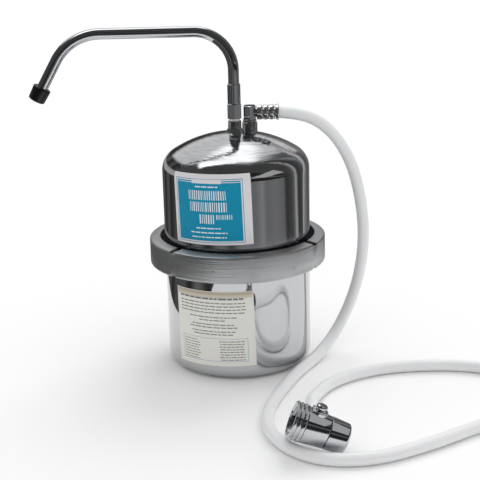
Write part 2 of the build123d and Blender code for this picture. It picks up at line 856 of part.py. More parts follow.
def cartridge_cap_shell():
    """End cap drawn with the block's end face at zero and the cap above it."""
    skirt_inner = block_radius + wrap_clearance + wrap_thickness + cap_skirt_clearance
    cap = rod(cap_radius, -cap_skirt_height, cap_thickness)
    cap = fillet(cap.edges().sort_by(Axis.Z)[-1], cap_thickness / 3)
    return cap - rod(skirt_inner, -cap_skirt_height - overrun, 0)


def cartridge_top_cap():
    """Top cap with the neck that plugs into the outlet port."""
    neck_top = dome_top_height - outlet_socket_depth + outlet_socket_bore_depth - cap_neck_clearance
    cap = Pos(0, 0, block_top) * cartridge_cap_shell()
    shoulder_top = block_top + cap_thickness + cap_neck_shoulder_height
    cap += rod(cap_neck_shoulder_radius, block_top, shoulder_top)
    cap += rod(cap_neck_radius, block_top, neck_top)
    cap -= rod(cap_neck_bore_radius, block_top - overrun, neck_top + overrun)
    middle = neck_top - cartridge_ring_place
    half_groove = cartridge_ring_section * 1.2
    return cap - pipe(
        cap_neck_radius + overrun, cap_neck_radius - 2 * cartridge_ring_section,
        middle - half_groove, middle + half_groove,
    )


def cartridge_o_ring():
    neck_top = dome_top_height - outlet_socket_depth + outlet_socket_bore_depth - cap_neck_clearance
    return ring_seal(
        cap_neck_radius - cartridge_ring_section + o_ring_clearance / 2, cartridge_ring_section,
        neck_top - cartridge_ring_place,
    )


def cartridge_bottom_cap():
    """Closed bottom cap, standing in the pot on its ring foot."""
    cap = Pos(0, 0, block_bottom) * Rot(180, 0, 0) * cartridge_cap_shell()
    foot_bottom = shell_wall + cap_foot_gap
    foot_top = block_bottom - cap_thickness / 2
    foot = pipe(cap_foot_radius, cap_foot_radius - cap_foot_width, foot_bottom, foot_top)
    return cap + foot


def label_between(face_at, azimuth, half_angle, bottom, top):
    """Paper label cut from a thin skin over a shell, by a box pushed in along its azimuth."""
    skin = spun(face_at(-label_lift - label_thickness)) - spun(face_at(-label_lift))
    half_width = shell_radius * sin(radians(half_angle))
    middle = (bottom + top) / 2
    window = Rot(label_tilt, 0, 0) * Box(shell_radius, 2 * half_width, top - bottom)
    return skin & (Rot(0, 0, azimuth - 90) * Pos(shell_radius, 0, middle) * window)


def upper_label():
    return label_between(
        lambda inset: dome_face(inset, parting_height), upper_label_azimuth,
        upper_label_half_angle, upper_label_bottom, upper_label_top,
    )


def lower_label():
    return label_between(
        lambda inset: pot_face(inset, parting_height), lower_label_azimuth,
        lower_label_half_angle, lower_label_bottom, lower_label_top,
    )


def on_diverter(piece):
    """Put a piece drawn in the diverter's own frame where the diverter lies."""
    return diverter_frame.location * piece


def to_knob(piece):
    """Turn a piece made on Z so that it points to the knob at the valve's station."""
    return Pos(0, 0, valve_station) * Rot(0, 90, 0) * piece


def collar_lip_start():
    return collar_length - collar_lip_length


def flange_front():
    return collar_lip_start() - body_flange_thickness - collar_face_gap


def screen_front():
    return flange_front() - washer_thickness - screen_thickness


def diverter_collar():
    """Swivelling collar that screws on the tap, with two grooves around it."""
    collar = turned(
        (0, 0), (collar_radius, 0), (collar_radius, collar_length), (0, collar_length)
    )
    collar = chamfer(collar.edges().filter_by(GeomType.CIRCLE), collar_groove_depth / 4)
    collar -= turned(
        (0, -overrun), (collar_mouth_radius, -overrun), (collar_mouth_radius, 0),
        (collar_thread_radius, collar_mouth_chamfer), (0, collar_mouth_chamfer),
    )
    collar -= rod(collar_thread_radius, 0, screen_front() - collar_thread_run_out)
    collar -= rod(collar_pocket_radius, 0, collar_lip_start())
    collar -= rod(body_neck_radius + collar_running_fit, 0, collar_length + overrun)
    for index in range(collar_grooves):
        middle = collar_first_groove + collar_groove_pitch * index
        collar -= pipe(
            collar_radius + overrun, collar_radius - collar_groove_depth,
            middle - collar_groove_width / 2, middle + collar_groove_width / 2,
        )
    return on_diverter(collar)


def diverter_body():
    """Diverter body: flanged neck, cone, valve bore, and the hose port on its far side."""
    shoulder = collar_length + collar_face_gap
    body = turned(
        (0, flange_front()), (body_flange_radius, flange_front()),
        (body_flange_radius, flange_front() + body_flange_thickness),
        (body_neck_radius, flange_front() + body_flange_thickness),
        (body_neck_radius, shoulder), (body_cone_radius, shoulder),
        (body_groove_radius, body_length), (0, body_length),
    )
    body += to_knob(rod(bonnet_radius, 0, bonnet_top - bonnet_neck_height))
    port_distance = Pos(0, 0, valve_station) * Rot(90, 0, 0)
    nipple = barbed_nipple(diverter_neck_start, 0) + rod(port_boss_radius, 0, port_boss_reach)
    body += port_distance * nipple
    body -= rod(body_bore_radius, -overrun, body_length + overrun)
    body -= rod(nozzle_spigot_radius + thread_fit, body_length - nozzle_spigot_length, body_length + overrun)
    body -= to_knob(rod(bonnet_shank_radius, 0, bonnet_top))
    port_end = diverter_neck_start + barb_neck_length + barb_length + overrun
    body -= port_distance * rod(elbow_bore_radius, 0, port_end)
    return on_diverter(body)


def collar_washer():
    front = flange_front() - washer_thickness
    return on_diverter(
        pipe(body_flange_radius, washer_bore_radius, front, flange_front())
    )


def perforated_disc(radius, front):
    """Round screen with a square grid of holes that stay clear of its rim."""
    screen = rod(radius, front, front + screen_thickness)
    steps = int(radius / screen_hole_pitch)
    holes = []
    for across in range(-steps, steps + 1):
        for up in range(-steps, steps + 1):
            x, y = across * screen_hole_pitch, up * screen_hole_pitch
            if hypot(x, y) + 2 * screen_hole_radius < radius:
                holes.append(Pos(x, y, 0) * rod(screen_hole_radius, front - overrun, front + overrun))
    return screen - holes


def inlet_screen():
    return on_diverter(perforated_disc(body_flange_radius, screen_front()))


def diverter_nozzle():
    """Outlet end of the diverter, screwed into the body behind a fine groove."""
    start = body_length + nozzle_groove_gap
    end = diverter_length
    nozzle = turned(
        (0, start), (body_groove_radius, start), (nozzle_end_radius, end), (0, end)
    )
    nozzle = fillet(nozzle.edges().filter_by(GeomType.CIRCLE).sort_by(Axis.Z)[-1], nozzle_edge_radius)
    nozzle += rod(nozzle_spigot_radius, body_length - nozzle_spigot_length, end - nozzle_edge_radius)
    nozzle -= rod(body_bore_radius, body_length - nozzle_spigot_length - overrun, end)
    nozzle -= rod(nozzle_bore_radius, body_length + nozzle_groove_gap + overrun, end + overrun)
    return on_diverter(nozzle)


def outlet_screen():
    front = diverter_length - nozzle_screen_recess - screen_thickness
    return on_diverter(perforated_disc(nozzle_bore_radius - solder_fit, front))


def valve_bonnet():
    """Bonnet in the body's boss that guides the valve stem."""
    seat = bonnet_top - bonnet_neck_height
    bonnet = rod(bonnet_radius - hex_chamfer, seat, bonnet_top)
    bonnet = chamfer(bonnet.edges().sort_by(Axis.Z)[-1], bonnet_neck_height / 3)
    bonnet += rod(bonnet_neck_radius, seat, bonnet_top + bonnet_neck_height)
    bonnet += rod(bonnet_shank_radius - thread_fit, seat - bonnet_shank_depth, seat)
    bonnet -= rod(valve_stem_radius + valve_stem_fit, 0, bonnet_top + 2 * overrun)
    return on_diverter(to_knob(bonnet))


def knob_underside():
    return bonnet_top + bonnet_neck_height + valve_knob_gap


def valve_stem():
    return on_diverter(to_knob(rod(valve_stem_radius, valve_stem_inner_reach, knob_underside())))


def diverter_knob():
    """Mushroom knob on the end of the valve stem."""
    under = knob_underside()
    knob = rod(valve_knob_radius, under, under + valve_knob_height)
    knob = fillet(knob.edges().filter_by(GeomType.CIRCLE).sort_by(Axis.Z)[-1], valve_knob_height / 2)
    knob = fillet(knob.edges().filter_by(GeomType.CIRCLE).sort_by(Axis.Z)[0], valve_knob_edge)
    return on_diverter(to_knob(knob))


def valve_seal():
    """Rubber disc on the stem's inner end, which closes one way or the other."""
    top = bonnet_top - bonnet_neck_height - bonnet_shank_depth - valve_travel - collar_face_gap
    seal = pipe(valve_seal_radius, valve_stem_radius, top - valve_seal_thickness, top)
    return on_diverter(to_knob(seal))


pieces = {
    "lower_pot": lower_pot,
    "upper_dome": upper_dome,
    "upper_flange": upper_flange,
    "lower_flange": lower_flange,
    "flange_gasket": flange_gasket,
    "clamp_front_segment": clamp_front_segment,
    "clamp_left_arm": clamp_left_arm,
    "clamp_right_arm": clamp_right_arm,
    "clamp_t_bolt": clamp_t_bolt,
    "clamp_trunnion": clamp_trunnion,
    "clamp_washer": clamp_washer,
    "clamp_nut": clamp_nut,
    "outlet_port_fitting": outlet_port_fitting,
    "spout_washer": spout_washer,
    "spout_gland": spout_gland,
    "spout_sleeve": spout_sleeve,
    "spout_o_rings": spout_o_rings,
    "spout_snap_ring": spout_snap_ring,
    "spout_tube": spout_tube,
    "spout_tip": spout_tip,
    "inlet_port_fitting": inlet_port_fitting,
    "inlet_elbow": inlet_elbow,
    "check_valve": check_valve,
    "inlet_ferrule": inlet_ferrule,
    "hose": hose,
    "carbon_block": carbon_block,
    "prefilter_wrap": prefilter_wrap,
    "cartridge_core_tube": cartridge_core_tube,
    "cartridge_top_cap": cartridge_top_cap,
    "cartridge_bottom_cap": cartridge_bottom_cap,
    "cartridge_o_ring": cartridge_o_ring,
    "upper_label": upper_label,
    "lower_label": lower_label,
    "diverter_collar": diverter_collar,
    "diverter_body": diverter_body,
    "diverter_ferrule": diverter_ferrule,
    "collar_washer": collar_washer,
    "inlet_screen": inlet_screen,
    "diverter_nozzle": diverter_nozzle,
    "outlet_screen": outlet_screen,
    "valve_bonnet": valve_bonnet,
    "valve_stem": valve_stem,
    "diverter_knob": diverter_knob,
    "valve_seal": valve_seal,
}

os.makedirs("parts", exist_ok=True)
for name, make in pieces.items():
    export_step(make(), f"parts/{name}.step")

place = {
    "spout axis": Vector(0, 0, gland_top),
    "diverter mouth": mouth_centre,
    "diverter axis": diverter_axis,
    "knob axis": knob_axis,
    "port axis": port_axis,
    "clamp hinge right": (Rot(0, 0, clamp_clocking) * Pos(clamp_hinge_x, clamp_hinge_y, 0)).position,
    "clamp hinge left": (Rot(0, 0, clamp_clocking) * Pos(-clamp_hinge_x, clamp_hinge_y, 0)).position,
    "loop right": (Rot(0, 0, clamp_clocking) * Pos(loop_centre_offset, loop_y, 0)).position,
    "loop left": (Rot(0, 0, clamp_clocking) * Pos(-loop_centre_offset, loop_y, 0)).position,
}
for name, value in place.items():
    print(name, tuple(round(part, 4) for part in value))
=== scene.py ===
"""Countertop water filter: finished pieces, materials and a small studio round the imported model.

Sizes in the classes are millimetres, as on a drawing. A shape is drawn in the place of its
sub-assembly and is brought to metres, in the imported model's frame, when its piece is made.
"""

import json
import logging
import math
import random
from collections.abc import Iterable, Sequence
from dataclasses import dataclass, field
from enum import Enum, IntEnum

import bmesh
import bpy
from mathutils import Matrix, Vector

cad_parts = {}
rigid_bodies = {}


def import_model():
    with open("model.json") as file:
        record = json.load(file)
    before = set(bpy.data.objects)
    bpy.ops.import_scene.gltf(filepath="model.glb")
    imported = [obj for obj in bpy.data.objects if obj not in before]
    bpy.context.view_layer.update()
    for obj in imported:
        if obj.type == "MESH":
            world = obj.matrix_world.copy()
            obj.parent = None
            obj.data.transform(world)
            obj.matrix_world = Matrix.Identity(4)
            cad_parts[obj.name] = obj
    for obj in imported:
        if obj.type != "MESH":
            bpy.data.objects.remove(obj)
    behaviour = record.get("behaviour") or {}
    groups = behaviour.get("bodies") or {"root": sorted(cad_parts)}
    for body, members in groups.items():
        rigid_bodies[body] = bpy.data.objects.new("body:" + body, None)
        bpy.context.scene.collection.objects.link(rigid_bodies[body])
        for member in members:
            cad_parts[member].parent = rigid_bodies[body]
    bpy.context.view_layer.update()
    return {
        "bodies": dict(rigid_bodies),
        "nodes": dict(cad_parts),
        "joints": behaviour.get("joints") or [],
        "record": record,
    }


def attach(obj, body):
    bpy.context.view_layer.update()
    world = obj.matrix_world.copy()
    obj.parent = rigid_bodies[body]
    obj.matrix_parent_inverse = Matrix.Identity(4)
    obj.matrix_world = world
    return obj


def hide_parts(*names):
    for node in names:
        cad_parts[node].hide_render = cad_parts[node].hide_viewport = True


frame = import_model()

LOG = logging.getLogger("water_filter")
MM = 0.001
SHELL_RADIUS = 70 * MM
FULL_TURN = 360.0
MERGE_MM = 0.0005
SCATTER_DEPTH = 2 * MM
THREAD_STEPS = 20
SHARP = math.radians(32)
HERE = Matrix.Identity(4)
Colour = tuple[float, float, float, float]
Point = tuple[float, float, float]
PrintedField = tuple[float, float, float, float, int, int]
OverheadField = tuple[str, float, Sequence[tuple[Sequence[float], float, float]]]


class Body(Enum):
    """CAD bodies that pieces ride on."""

    HOUSING = "housing"
    SPOUT = "spout"
    CLAMP_LEFT = "clamp_left"
    CLAMP_RIGHT = "clamp_right"
    CLAMP_BOLT = "clamp_bolt"
    NUT_END = "clamp_nut_end"
    COLLAR = "tap_collar"
    KNOB = "valve_knob"


def linear(code: str) -> Colour:
    """Turn an sRGB hex value into the linear colour that a shader reads.

    Args:
        code: six hex digits.

    Returns:
        Linear red, green and blue, with an alpha of one.
    """
    parts = [int(code[at:at + 2], 16) / 255 for at in (0, 2, 4)]
    return (*[p / 12.92 if p <= 0.04045 else ((p + 0.055) / 1.055) ** 2.4 for p in parts], 1.0)


def add_node(
    tree: bpy.types.NodeTree,
    kind: str,
    inputs: dict | None = None,
    stops: Sequence[tuple[float, Colour]] = (),
    **settings: object,
) -> bpy.types.Node:
    """Add one node with its settings, its values and its links.

    Args:
        tree: the node tree it goes in.
        kind: Blender's name for the node.
        inputs: values or output sockets, by input name or number.
        stops: places and colours of a colour ramp.
        **settings: properties of the node itself.

    Returns:
        The new node.
    """
    node = tree.nodes.new(kind)
    for name, value in settings.items():
        setattr(node, name, value)
    for socket, value in (inputs or {}).items():
        if isinstance(value, bpy.types.NodeSocket):
            tree.links.new(value, node.inputs[socket])
        else:
            node.inputs[socket].default_value = value
    for index, (place, colour) in enumerate(stops):
        elements = node.color_ramp.elements
        element = elements[index] if index < len(elements) else elements.new(place)
        element.position = place
        element.color = colour
    return node


@dataclass(frozen=True)
class Grain:
    """One fine unevenness of a surface, drawn as noise over the piece.

    Attributes:
        size_mm: distance from bump to bump.
        stretch: how many times longer the bumps are along X, Y and Z.
        height_mm: height of the bumps.
        shade: how far the colour goes towards the finish's second colour.
        gloss: how far the roughness swings.
        detail: octaves of the noise.
        turned: whether the bumps run round Z, so that X counts as radius and Y as way round.
    """

    size_mm: float
    stretch: Point = (1.0, 1.0, 1.0)
    height_mm: float = 0.0
    shade: float = 0.0
    gloss: float = 0.0
    detail: float = 2.0
    turned: bool = False


@dataclass(frozen=True)
class Finish:
    """A real material with the way its surface was made.

    Attributes:
        name: what the material is.
        slot: the record's material slot; not used.
        colour: sRGB hex of the surface.
        second: sRGB hex that its grains shade towards.
        metallic: one for a metal.
        roughness: middle roughness.
        ior: index of refraction where it isn't a metal.
        coat: weight of a clear coat.
        sheen: weight of a fibre sheen.
        scatter: share of light that scatters below the surface.
        anisotropy: stretch of the highlight across brushing.
        grains: its unevenness, coarse to fine.
    """

    name: str
    slot: str
    colour: str
    second: str
    metallic: float = 0.0
    roughness: float = 0.4
    ior: float = 1.5
    coat: float = 0.0
    sheen: float = 0.0
    scatter: float = 0.0
    anisotropy: float = 0.0
    grains: tuple[Grain, ...] = ()

    def material(self) -> bpy.types.Material:
        """Make the material, or give the one already made.

        Returns:
            A node material under this finish's name.
        """
        made = bpy.data.materials.get(self.name)
        if made:
            return made
        made = bpy.data.materials.new(self.name)
        made.use_nodes = True
        tree = made.node_tree
        shader = tree.nodes["Principled BSDF"]
        for socket, value in {
            "Base Color": linear(self.colour), "Metallic": self.metallic,
            "Roughness": self.roughness, "Coat Weight": self.coat, "Sheen Weight": self.sheen,
            "Subsurface Weight": self.scatter, "Anisotropic": self.anisotropy,
        }.items():
            shader.inputs[socket].default_value = value
        if self.scatter:
            shader.inputs["Subsurface Scale"].default_value = SCATTER_DEPTH
        if not self.metallic:
            shader.inputs["IOR"].default_value = self.ior
        place = add_node(tree, "ShaderNodeTexCoord").outputs["Object"]
        colour, gloss, bump = None, None, None
        for grain in self.grains:
            per_unit = [1 / (grain.size_mm * MM * stretch) for stretch in grain.stretch]
            over = self.round_axis(tree, place) if grain.turned else place
            lie = add_node(tree, "ShaderNodeMapping", {"Vector": over, "Scale": per_unit})
            noise = add_node(
                tree, "ShaderNodeTexNoise",
                {"Vector": lie.outputs["Vector"], "Scale": 1.0, "Detail": grain.detail},
            ).outputs["Fac"]
            if grain.shade:
                share = add_node(
                    tree, "ShaderNodeMath", {0: noise, 1: grain.shade}, operation="MULTIPLY"
                )
                colour = add_node(
                    tree, "ShaderNodeMix",
                    {
                        0: share.outputs[0], 6: colour or linear(self.colour),
                        7: linear(self.second),
                    },
                    data_type="RGBA",
                ).outputs[2]
            if grain.gloss:
                middle = self.roughness - grain.gloss / 2 if gloss is None else gloss
                gloss = add_node(
                    tree, "ShaderNodeMath", {0: noise, 1: grain.gloss, 2: middle},
                    operation="MULTIPLY_ADD",
                ).outputs[0]
            if grain.height_mm:
                below = {"Normal": bump} if bump else {}
                bump = add_node(
                    tree, "ShaderNodeBump",
                    {"Height": noise, "Distance": grain.height_mm * MM, **below},
                ).outputs["Normal"]
        for socket, source in (("Base Color", colour), ("Roughness", gloss), ("Normal", bump)):
            if source:
                tree.links.new(source, shader.inputs[socket])
        return made

    def round_axis(
        self, tree: bpy.types.NodeTree, place: bpy.types.NodeSocket
    ) -> bpy.types.NodeSocket:
        """Coordinates that run round the housing's axis, as a wheel or a brush does.

        Args:
            tree: the node tree they go in.
            place: the piece's own coordinates.

        Returns:
            Radius, way round at the shell's radius, and height.
        """
        axes = add_node(tree, "ShaderNodeSeparateXYZ", {0: place}).outputs
        level = add_node(tree, "ShaderNodeCombineXYZ", {"X": axes["X"], "Y": axes["Y"]}).outputs[0]
        radius = add_node(tree, "ShaderNodeVectorMath", {0: level}, operation="LENGTH")
        turn = add_node(tree, "ShaderNodeMath", {0: axes["X"], 1: axes["Y"]}, operation="ARCTAN2")
        along = add_node(
            tree, "ShaderNodeMath", {0: turn.outputs[0], 1: SHELL_RADIUS}, operation="MULTIPLY"
        )
        return add_node(
            tree, "ShaderNodeCombineXYZ",
            {"X": radius.outputs["Value"], "Y": along.outputs[0], "Z": axes["Z"]},
        ).outputs[0]


# Drawn 18/10 stainless steel, buffed to a mirror: the wheel leaves long shallow waves in the
# reflections and faint upright draw lines
MIRROR_STEEL = Finish(
    "mirror_buffed_stainless_steel", "polished_stainless", "cccdcf", "b4b6b9",
    metallic=1.0, roughness=0.05,
    grains=(
        Grain(26, (1.5, 1.5, 1.0), height_mm=0.02, detail=1.0),
        Grain(3.0, (1.0, 1.0, 12.0), gloss=0.05, shade=0.25),
    ),
)
# The dome's steel, pressed over a form and buffed by hand: more ripple, and wheel streaks that
# run round it, drawn coarser than they are so that they show
DOME_STEEL = Finish(
    "hand_buffed_stainless_steel", "polished_stainless", "dedfe1", "7e8084",
    metallic=1.0, roughness=0.06,
    grains=(
        Grain(22, (1.5, 1.5, 1.0), height_mm=0.05, detail=1.0),
        Grain(3.4, (1.0, 8.0, 400.0), height_mm=0.24, shade=0.6, detail=4.0, turned=True),
        Grain(3.0, (1.0, 1.0, 12.0), gloss=0.06, shade=0.12),
    ),
)
# Rolled stainless strip with a line-brushed face: fine scratches, drawn coarser than they are,
# run round the band and spread the highlight up and down
BRUSHED_STRIP = Finish(
    "line_brushed_stainless_strip", "satin_stainless", "dfe0e1", "8e9092",
    metallic=1.0, roughness=0.36,
    grains=(
        Grain(0.8, (0.5, 60.0, 1.0), height_mm=0.22, shade=0.45, gloss=0.12, turned=True),
        Grain(2.4, (0.5, 24.0, 1.0), shade=0.4, turned=True),
        Grain(30, shade=0.12, gloss=0.06),
    ),
)
# Turned stainless steel of the small fittings: a satin grey with turning marks
TURNED_STEEL = Finish(
    "turned_stainless_steel", "satin_stainless", "bfc0c2", "8a8c8f",
    metallic=1.0, roughness=0.24,
    grains=(Grain(0.35, (8.0, 8.0, 1.0), height_mm=0.004, shade=0.25, gloss=0.1),),
)
# Bright chrome over polished brass: a hard mirror with a slight ripple from the buffing
BRIGHT_CHROME = Finish(
    "bright_chrome_plate", "bright_chrome", "cbcdd0", "b0b3b7",
    metallic=1.0, roughness=0.06,
    grains=(
        Grain(9, height_mm=0.006, detail=1.0),
        Grain(1.2, gloss=0.06, shade=0.2),
    ),
)
# Pressed ferrules, nickel plated and left as stamped: brighter and softer than the chrome
STAMPED_NICKEL = Finish(
    "stamped_bright_nickel", "bright_chrome", "eeeff0", "d0d2d4",
    metallic=1.0, roughness=0.2,
    grains=(Grain(1.6, height_mm=0.02, shade=0.3, gloss=0.1),),
)
# Moulded black ABS of the spout's tip: glossy, with the moulding's faint flow
BLACK_ABS = Finish(
    "moulded_black_abs", "black_abs", "080809", "121213", roughness=0.32, ior=1.53,
    grains=(Grain(1.0, height_mm=0.01, shade=0.4, gloss=0.12),),
)
# Natural nylon washer: milky, slightly waxy
NATURAL_NYLON = Finish(
    "natural_nylon", "white_nylon", "f1f0ea", "dcd9cf", roughness=0.42, ior=1.53, scatter=0.3,
    grains=(Grain(1.5, height_mm=0.01, shade=0.4, gloss=0.1),),
)
# Plasticised PVC hose: white and smooth, light sinks a little way in
WHITE_PVC = Finish(
    "extruded_white_pvc_hose", "white_vinyl", "f4f5f6", "e6e8ea", roughness=0.34, ior=1.53,
    coat=0.15, scatter=0.15,
    grains=(Grain(14, shade=0.25, gloss=0.08), Grain(0.8, height_mm=0.006)),
)
# Nitrile rubber seals: matt black, dulled by handling
NITRILE = Finish(
    "moulded_nitrile_rubber", "black_rubber", "17171a", "2b2b2e", roughness=0.62, ior=1.52,
    grains=(Grain(0.6, height_mm=0.02, shade=0.5, gloss=0.15),),
)
# Silicone gasket and valve: grey and soft
SILICONE = Finish(
    "moulded_grey_silicone", "grey_silicone", "9b9c9b", "84868a", roughness=0.5, ior=1.41,
    scatter=0.2, grains=(Grain(1.0, height_mm=0.015, shade=0.4, gloss=0.1),),
)
# Extruded carbon block: black pressed grit
CARBON = Finish(
    "pressed_carbon", "pressed_carbon", "1a1a1b", "3a3a3c", roughness=0.85, ior=1.6,
    grains=(Grain(0.9, height_mm=0.15, shade=0.7, gloss=0.2), Grain(7, shade=0.3)),
)
# Polypropylene felt wrap: matt white fibres
FELT = Finish(
    "polypropylene_felt", "felt_wrap", "e9e8e2", "cfcdc4", roughness=0.9, ior=1.49, sheen=0.4,
    grains=(Grain(0.5, (3.0, 3.0, 1.0), height_mm=0.12, shade=0.6), Grain(12, shade=0.3)),
)
# Moulded polypropylene caps and core: translucent milk white
POLYPROPYLENE = Finish(
    "moulded_polypropylene", "polypropylene", "e3e5e6", "cdd0d3", roughness=0.38, ior=1.49,
    scatter=0.2, grains=(Grain(4, height_mm=0.02, shade=0.3, gloss=0.08),),
)
# Stainless gauze of the screens: thin bright wire
GAUZE = Finish(
    "stainless_gauze", "steel_mesh", "b8b9bb", "77797c", metallic=1.0, roughness=0.35,
    grains=(Grain(0.3, height_mm=0.03, shade=0.5, gloss=0.15),),
)

CAD_FINISHES = {
    TURNED_STEEL: ("clamp_washer", "spout_snap_ring"),
    NITRILE: ("spout_o_rings", "cartridge_o_ring", "collar_washer", "valve_seal"),
    SILICONE: ("flange_gasket", "check_valve"),
    CARBON: ("carbon_block",),
    FELT: ("prefilter_wrap",),
    POLYPROPYLENE: ("cartridge_core_tube", "cartridge_top_cap", "cartridge_bottom_cap"),
    GAUZE: ("inlet_screen", "outlet_screen"),
}


class Outline:
    """Half outline in the XZ plane, drawn run by run, that turns into a round piece."""

    def __init__(self, radius: float, height: float) -> None:
        """Start the outline.

        Args:
            radius: of its first corner, from the axis.
            height: of its first corner.
        """
        self.shape = bmesh.new()
        self.first = self.last = self.shape.verts.new((radius, 0, height))
        self.rounded: list[tuple[bmesh.types.BMVert, float, int]] = []

    def to(self, radius: float, height: float, rounding: float = 0.0, steps: int = 3) -> "Outline":
        """Draw a straight run to a corner.

        Args:
            radius: of the corner, from the axis.
            height: of the corner.
            rounding: radius that the corner is rounded to, if any.
            steps: facets of the rounding.

        Returns:
            This outline, for the next run.
        """
        corner = self.shape.verts.new((radius, 0, height))
        self.shape.edges.new((self.last, corner))
        self.last = corner
        if rounding:
            self.rounded.append((corner, rounding, steps))
        return self

    def arc(self, radius: float, height: float, turn: float, steps: int) -> "Outline":
        """Draw an arc on from the last corner.

        Args:
            radius: of the arc's centre, from the axis.
            height: of the arc's centre.
            turn: degrees, positive from outwards to upwards.
            steps: facets of the arc.

        Returns:
            This outline, for the next run.
        """
        made = bmesh.ops.spin(
            self.shape, geom=[self.last], cent=(radius, 0, height), axis=(0, -1, 0),
            angle=math.radians(turn), steps=steps,
        )
        self.last = next(part for part in made["geom_last"] if isinstance(part, bmesh.types.BMVert))
        return self

    def close(self) -> "Outline":
        """Join the last corner to the first."""
        self.shape.edges.new((self.last, self.first))
        return self

    def spun(
        self, steps: int = 96, sweep: float = FULL_TURN, start: float = 0.0
    ) -> bmesh.types.BMesh:
        """Turn the outline round Z.

        Args:
            steps: facets of the whole sweep.
            sweep: degrees to turn it through.
            start: degrees from +X at which it begins.

        Returns:
            A closed shape.
        """
        shape = self.shape
        for corner, rounding, facets in self.rounded:
            runs = [edge.other_vert(corner).co - corner.co for edge in corner.link_edges]
            reach = rounding / math.tan(runs[0].angle(runs[1]) / 2)
            bmesh.ops.bevel(
                shape, geom=[corner], affect="VERTICES", offset=reach, segments=facets,
                profile=0.5, material=-1,
            )
        bmesh.ops.rotate(
            shape, verts=shape.verts, cent=(0, 0, 0),
            matrix=Matrix.Rotation(math.radians(start), 3, "Z"),
        )
        whole = sweep == FULL_TURN
        bmesh.ops.spin(
            shape, geom=shape.verts[:] + shape.edges[:], cent=(0, 0, 0), axis=(0, 0, 1),
            angle=math.radians(sweep), steps=steps, use_merge=whole,
        )
        return tidied(shape)


def tidied(shape: bmesh.types.BMesh) -> bmesh.types.BMesh:
    """Merge doubles, close open ends and turn the faces outwards.

    Args:
        shape: the shape to tidy.

    Returns:
        The same shape.
    """
    bmesh.ops.remove_doubles(shape, verts=shape.verts, dist=MERGE_MM)
    open_edges = [edge for edge in shape.edges if edge.is_boundary]
    if open_edges:
        bmesh.ops.holes_fill(shape, edges=open_edges, sides=0)
    bmesh.ops.recalc_face_normals(shape, faces=shape.faces)
    return shape


def joined(*shapes: bmesh.types.BMesh) -> bmesh.types.BMesh:
    """Put shapes together as one.

    Args:
        *shapes: the shapes, of which the first one is kept.

    Returns:
        The first shape, with the others in it.
    """
    for shape in shapes[1:]:
        mesh = bpy.data.meshes.new("part")
        shape.to_mesh(mesh)
        shape.free()
        shapes[0].from_mesh(mesh)
        bpy.data.meshes.remove(mesh)
    return shapes[0]


def moved(shape: bmesh.types.BMesh, place: Matrix) -> bmesh.types.BMesh:
    """Move a shape, and turn its faces outwards again where it was mirrored.

    Args:
        shape: the shape to move.
        place: where it goes.

    Returns:
        The same shape.
    """
    bmesh.ops.transform(shape, matrix=place, verts=shape.verts)
    if place.determinant() < 0:
        bmesh.ops.reverse_faces(shape, faces=shape.faces)
    return shape


def cut_flats(shape: bmesh.types.BMesh, flats: float, count: int = 6) -> bmesh.types.BMesh:
    """Cut flats round a turned shape, as a hexagon bar has.

    Args:
        shape: the turned shape, on Z.
        flats: distance across the flats.
        count: number of flats, the first one facing +X.

    Returns:
        The same shape.
    """
    for index in range(count):
        facing = Matrix.Rotation(math.tau * index / count, 3, "Z") @ Vector((1, 0, 0))
        bmesh.ops.bisect_plane(
            shape, geom=shape.verts[:] + shape.edges[:] + shape.faces[:], dist=MERGE_MM,
            plane_co=facing * flats / 2, plane_no=facing, clear_outer=True,
        )
        tidied(shape)
    return shape


def screw_thread(
    radius: float, depth: float, pitch: float, low: float, high: float
) -> bmesh.types.BMesh:
    """Cut a round bar with a single-start thread.

    Args:
        radius: over the crests.
        depth: from crest to root.
        pitch: from crest to crest.
        low: height where the thread starts.
        high: height where it ends.

    Returns:
        A closed shape on Z.
    """
    turns = math.ceil((high - low) / pitch) + 2
    thread = Outline(radius - depth, low - pitch).to(radius, low - pitch * 0.6)
    shape = thread.to(radius, low - pitch * 0.4).to(radius - depth, low).shape
    bmesh.ops.spin(
        shape, geom=shape.verts[:] + shape.edges[:], cent=(0, 0, 0), axis=(0, 0, 1),
        dvec=(0, 0, pitch / THREAD_STEPS), angle=math.tau * turns, steps=THREAD_STEPS * turns,
    )
    bmesh.ops.remove_doubles(shape, verts=shape.verts, dist=MERGE_MM)
    for height, side in ((low, -1), (high, 1)):
        bmesh.ops.bisect_plane(
            shape, geom=shape.verts[:] + shape.edges[:] + shape.faces[:], dist=MERGE_MM,
            plane_co=(0, 0, height), plane_no=(0, 0, side), clear_outer=True,
        )
    return tidied(shape)


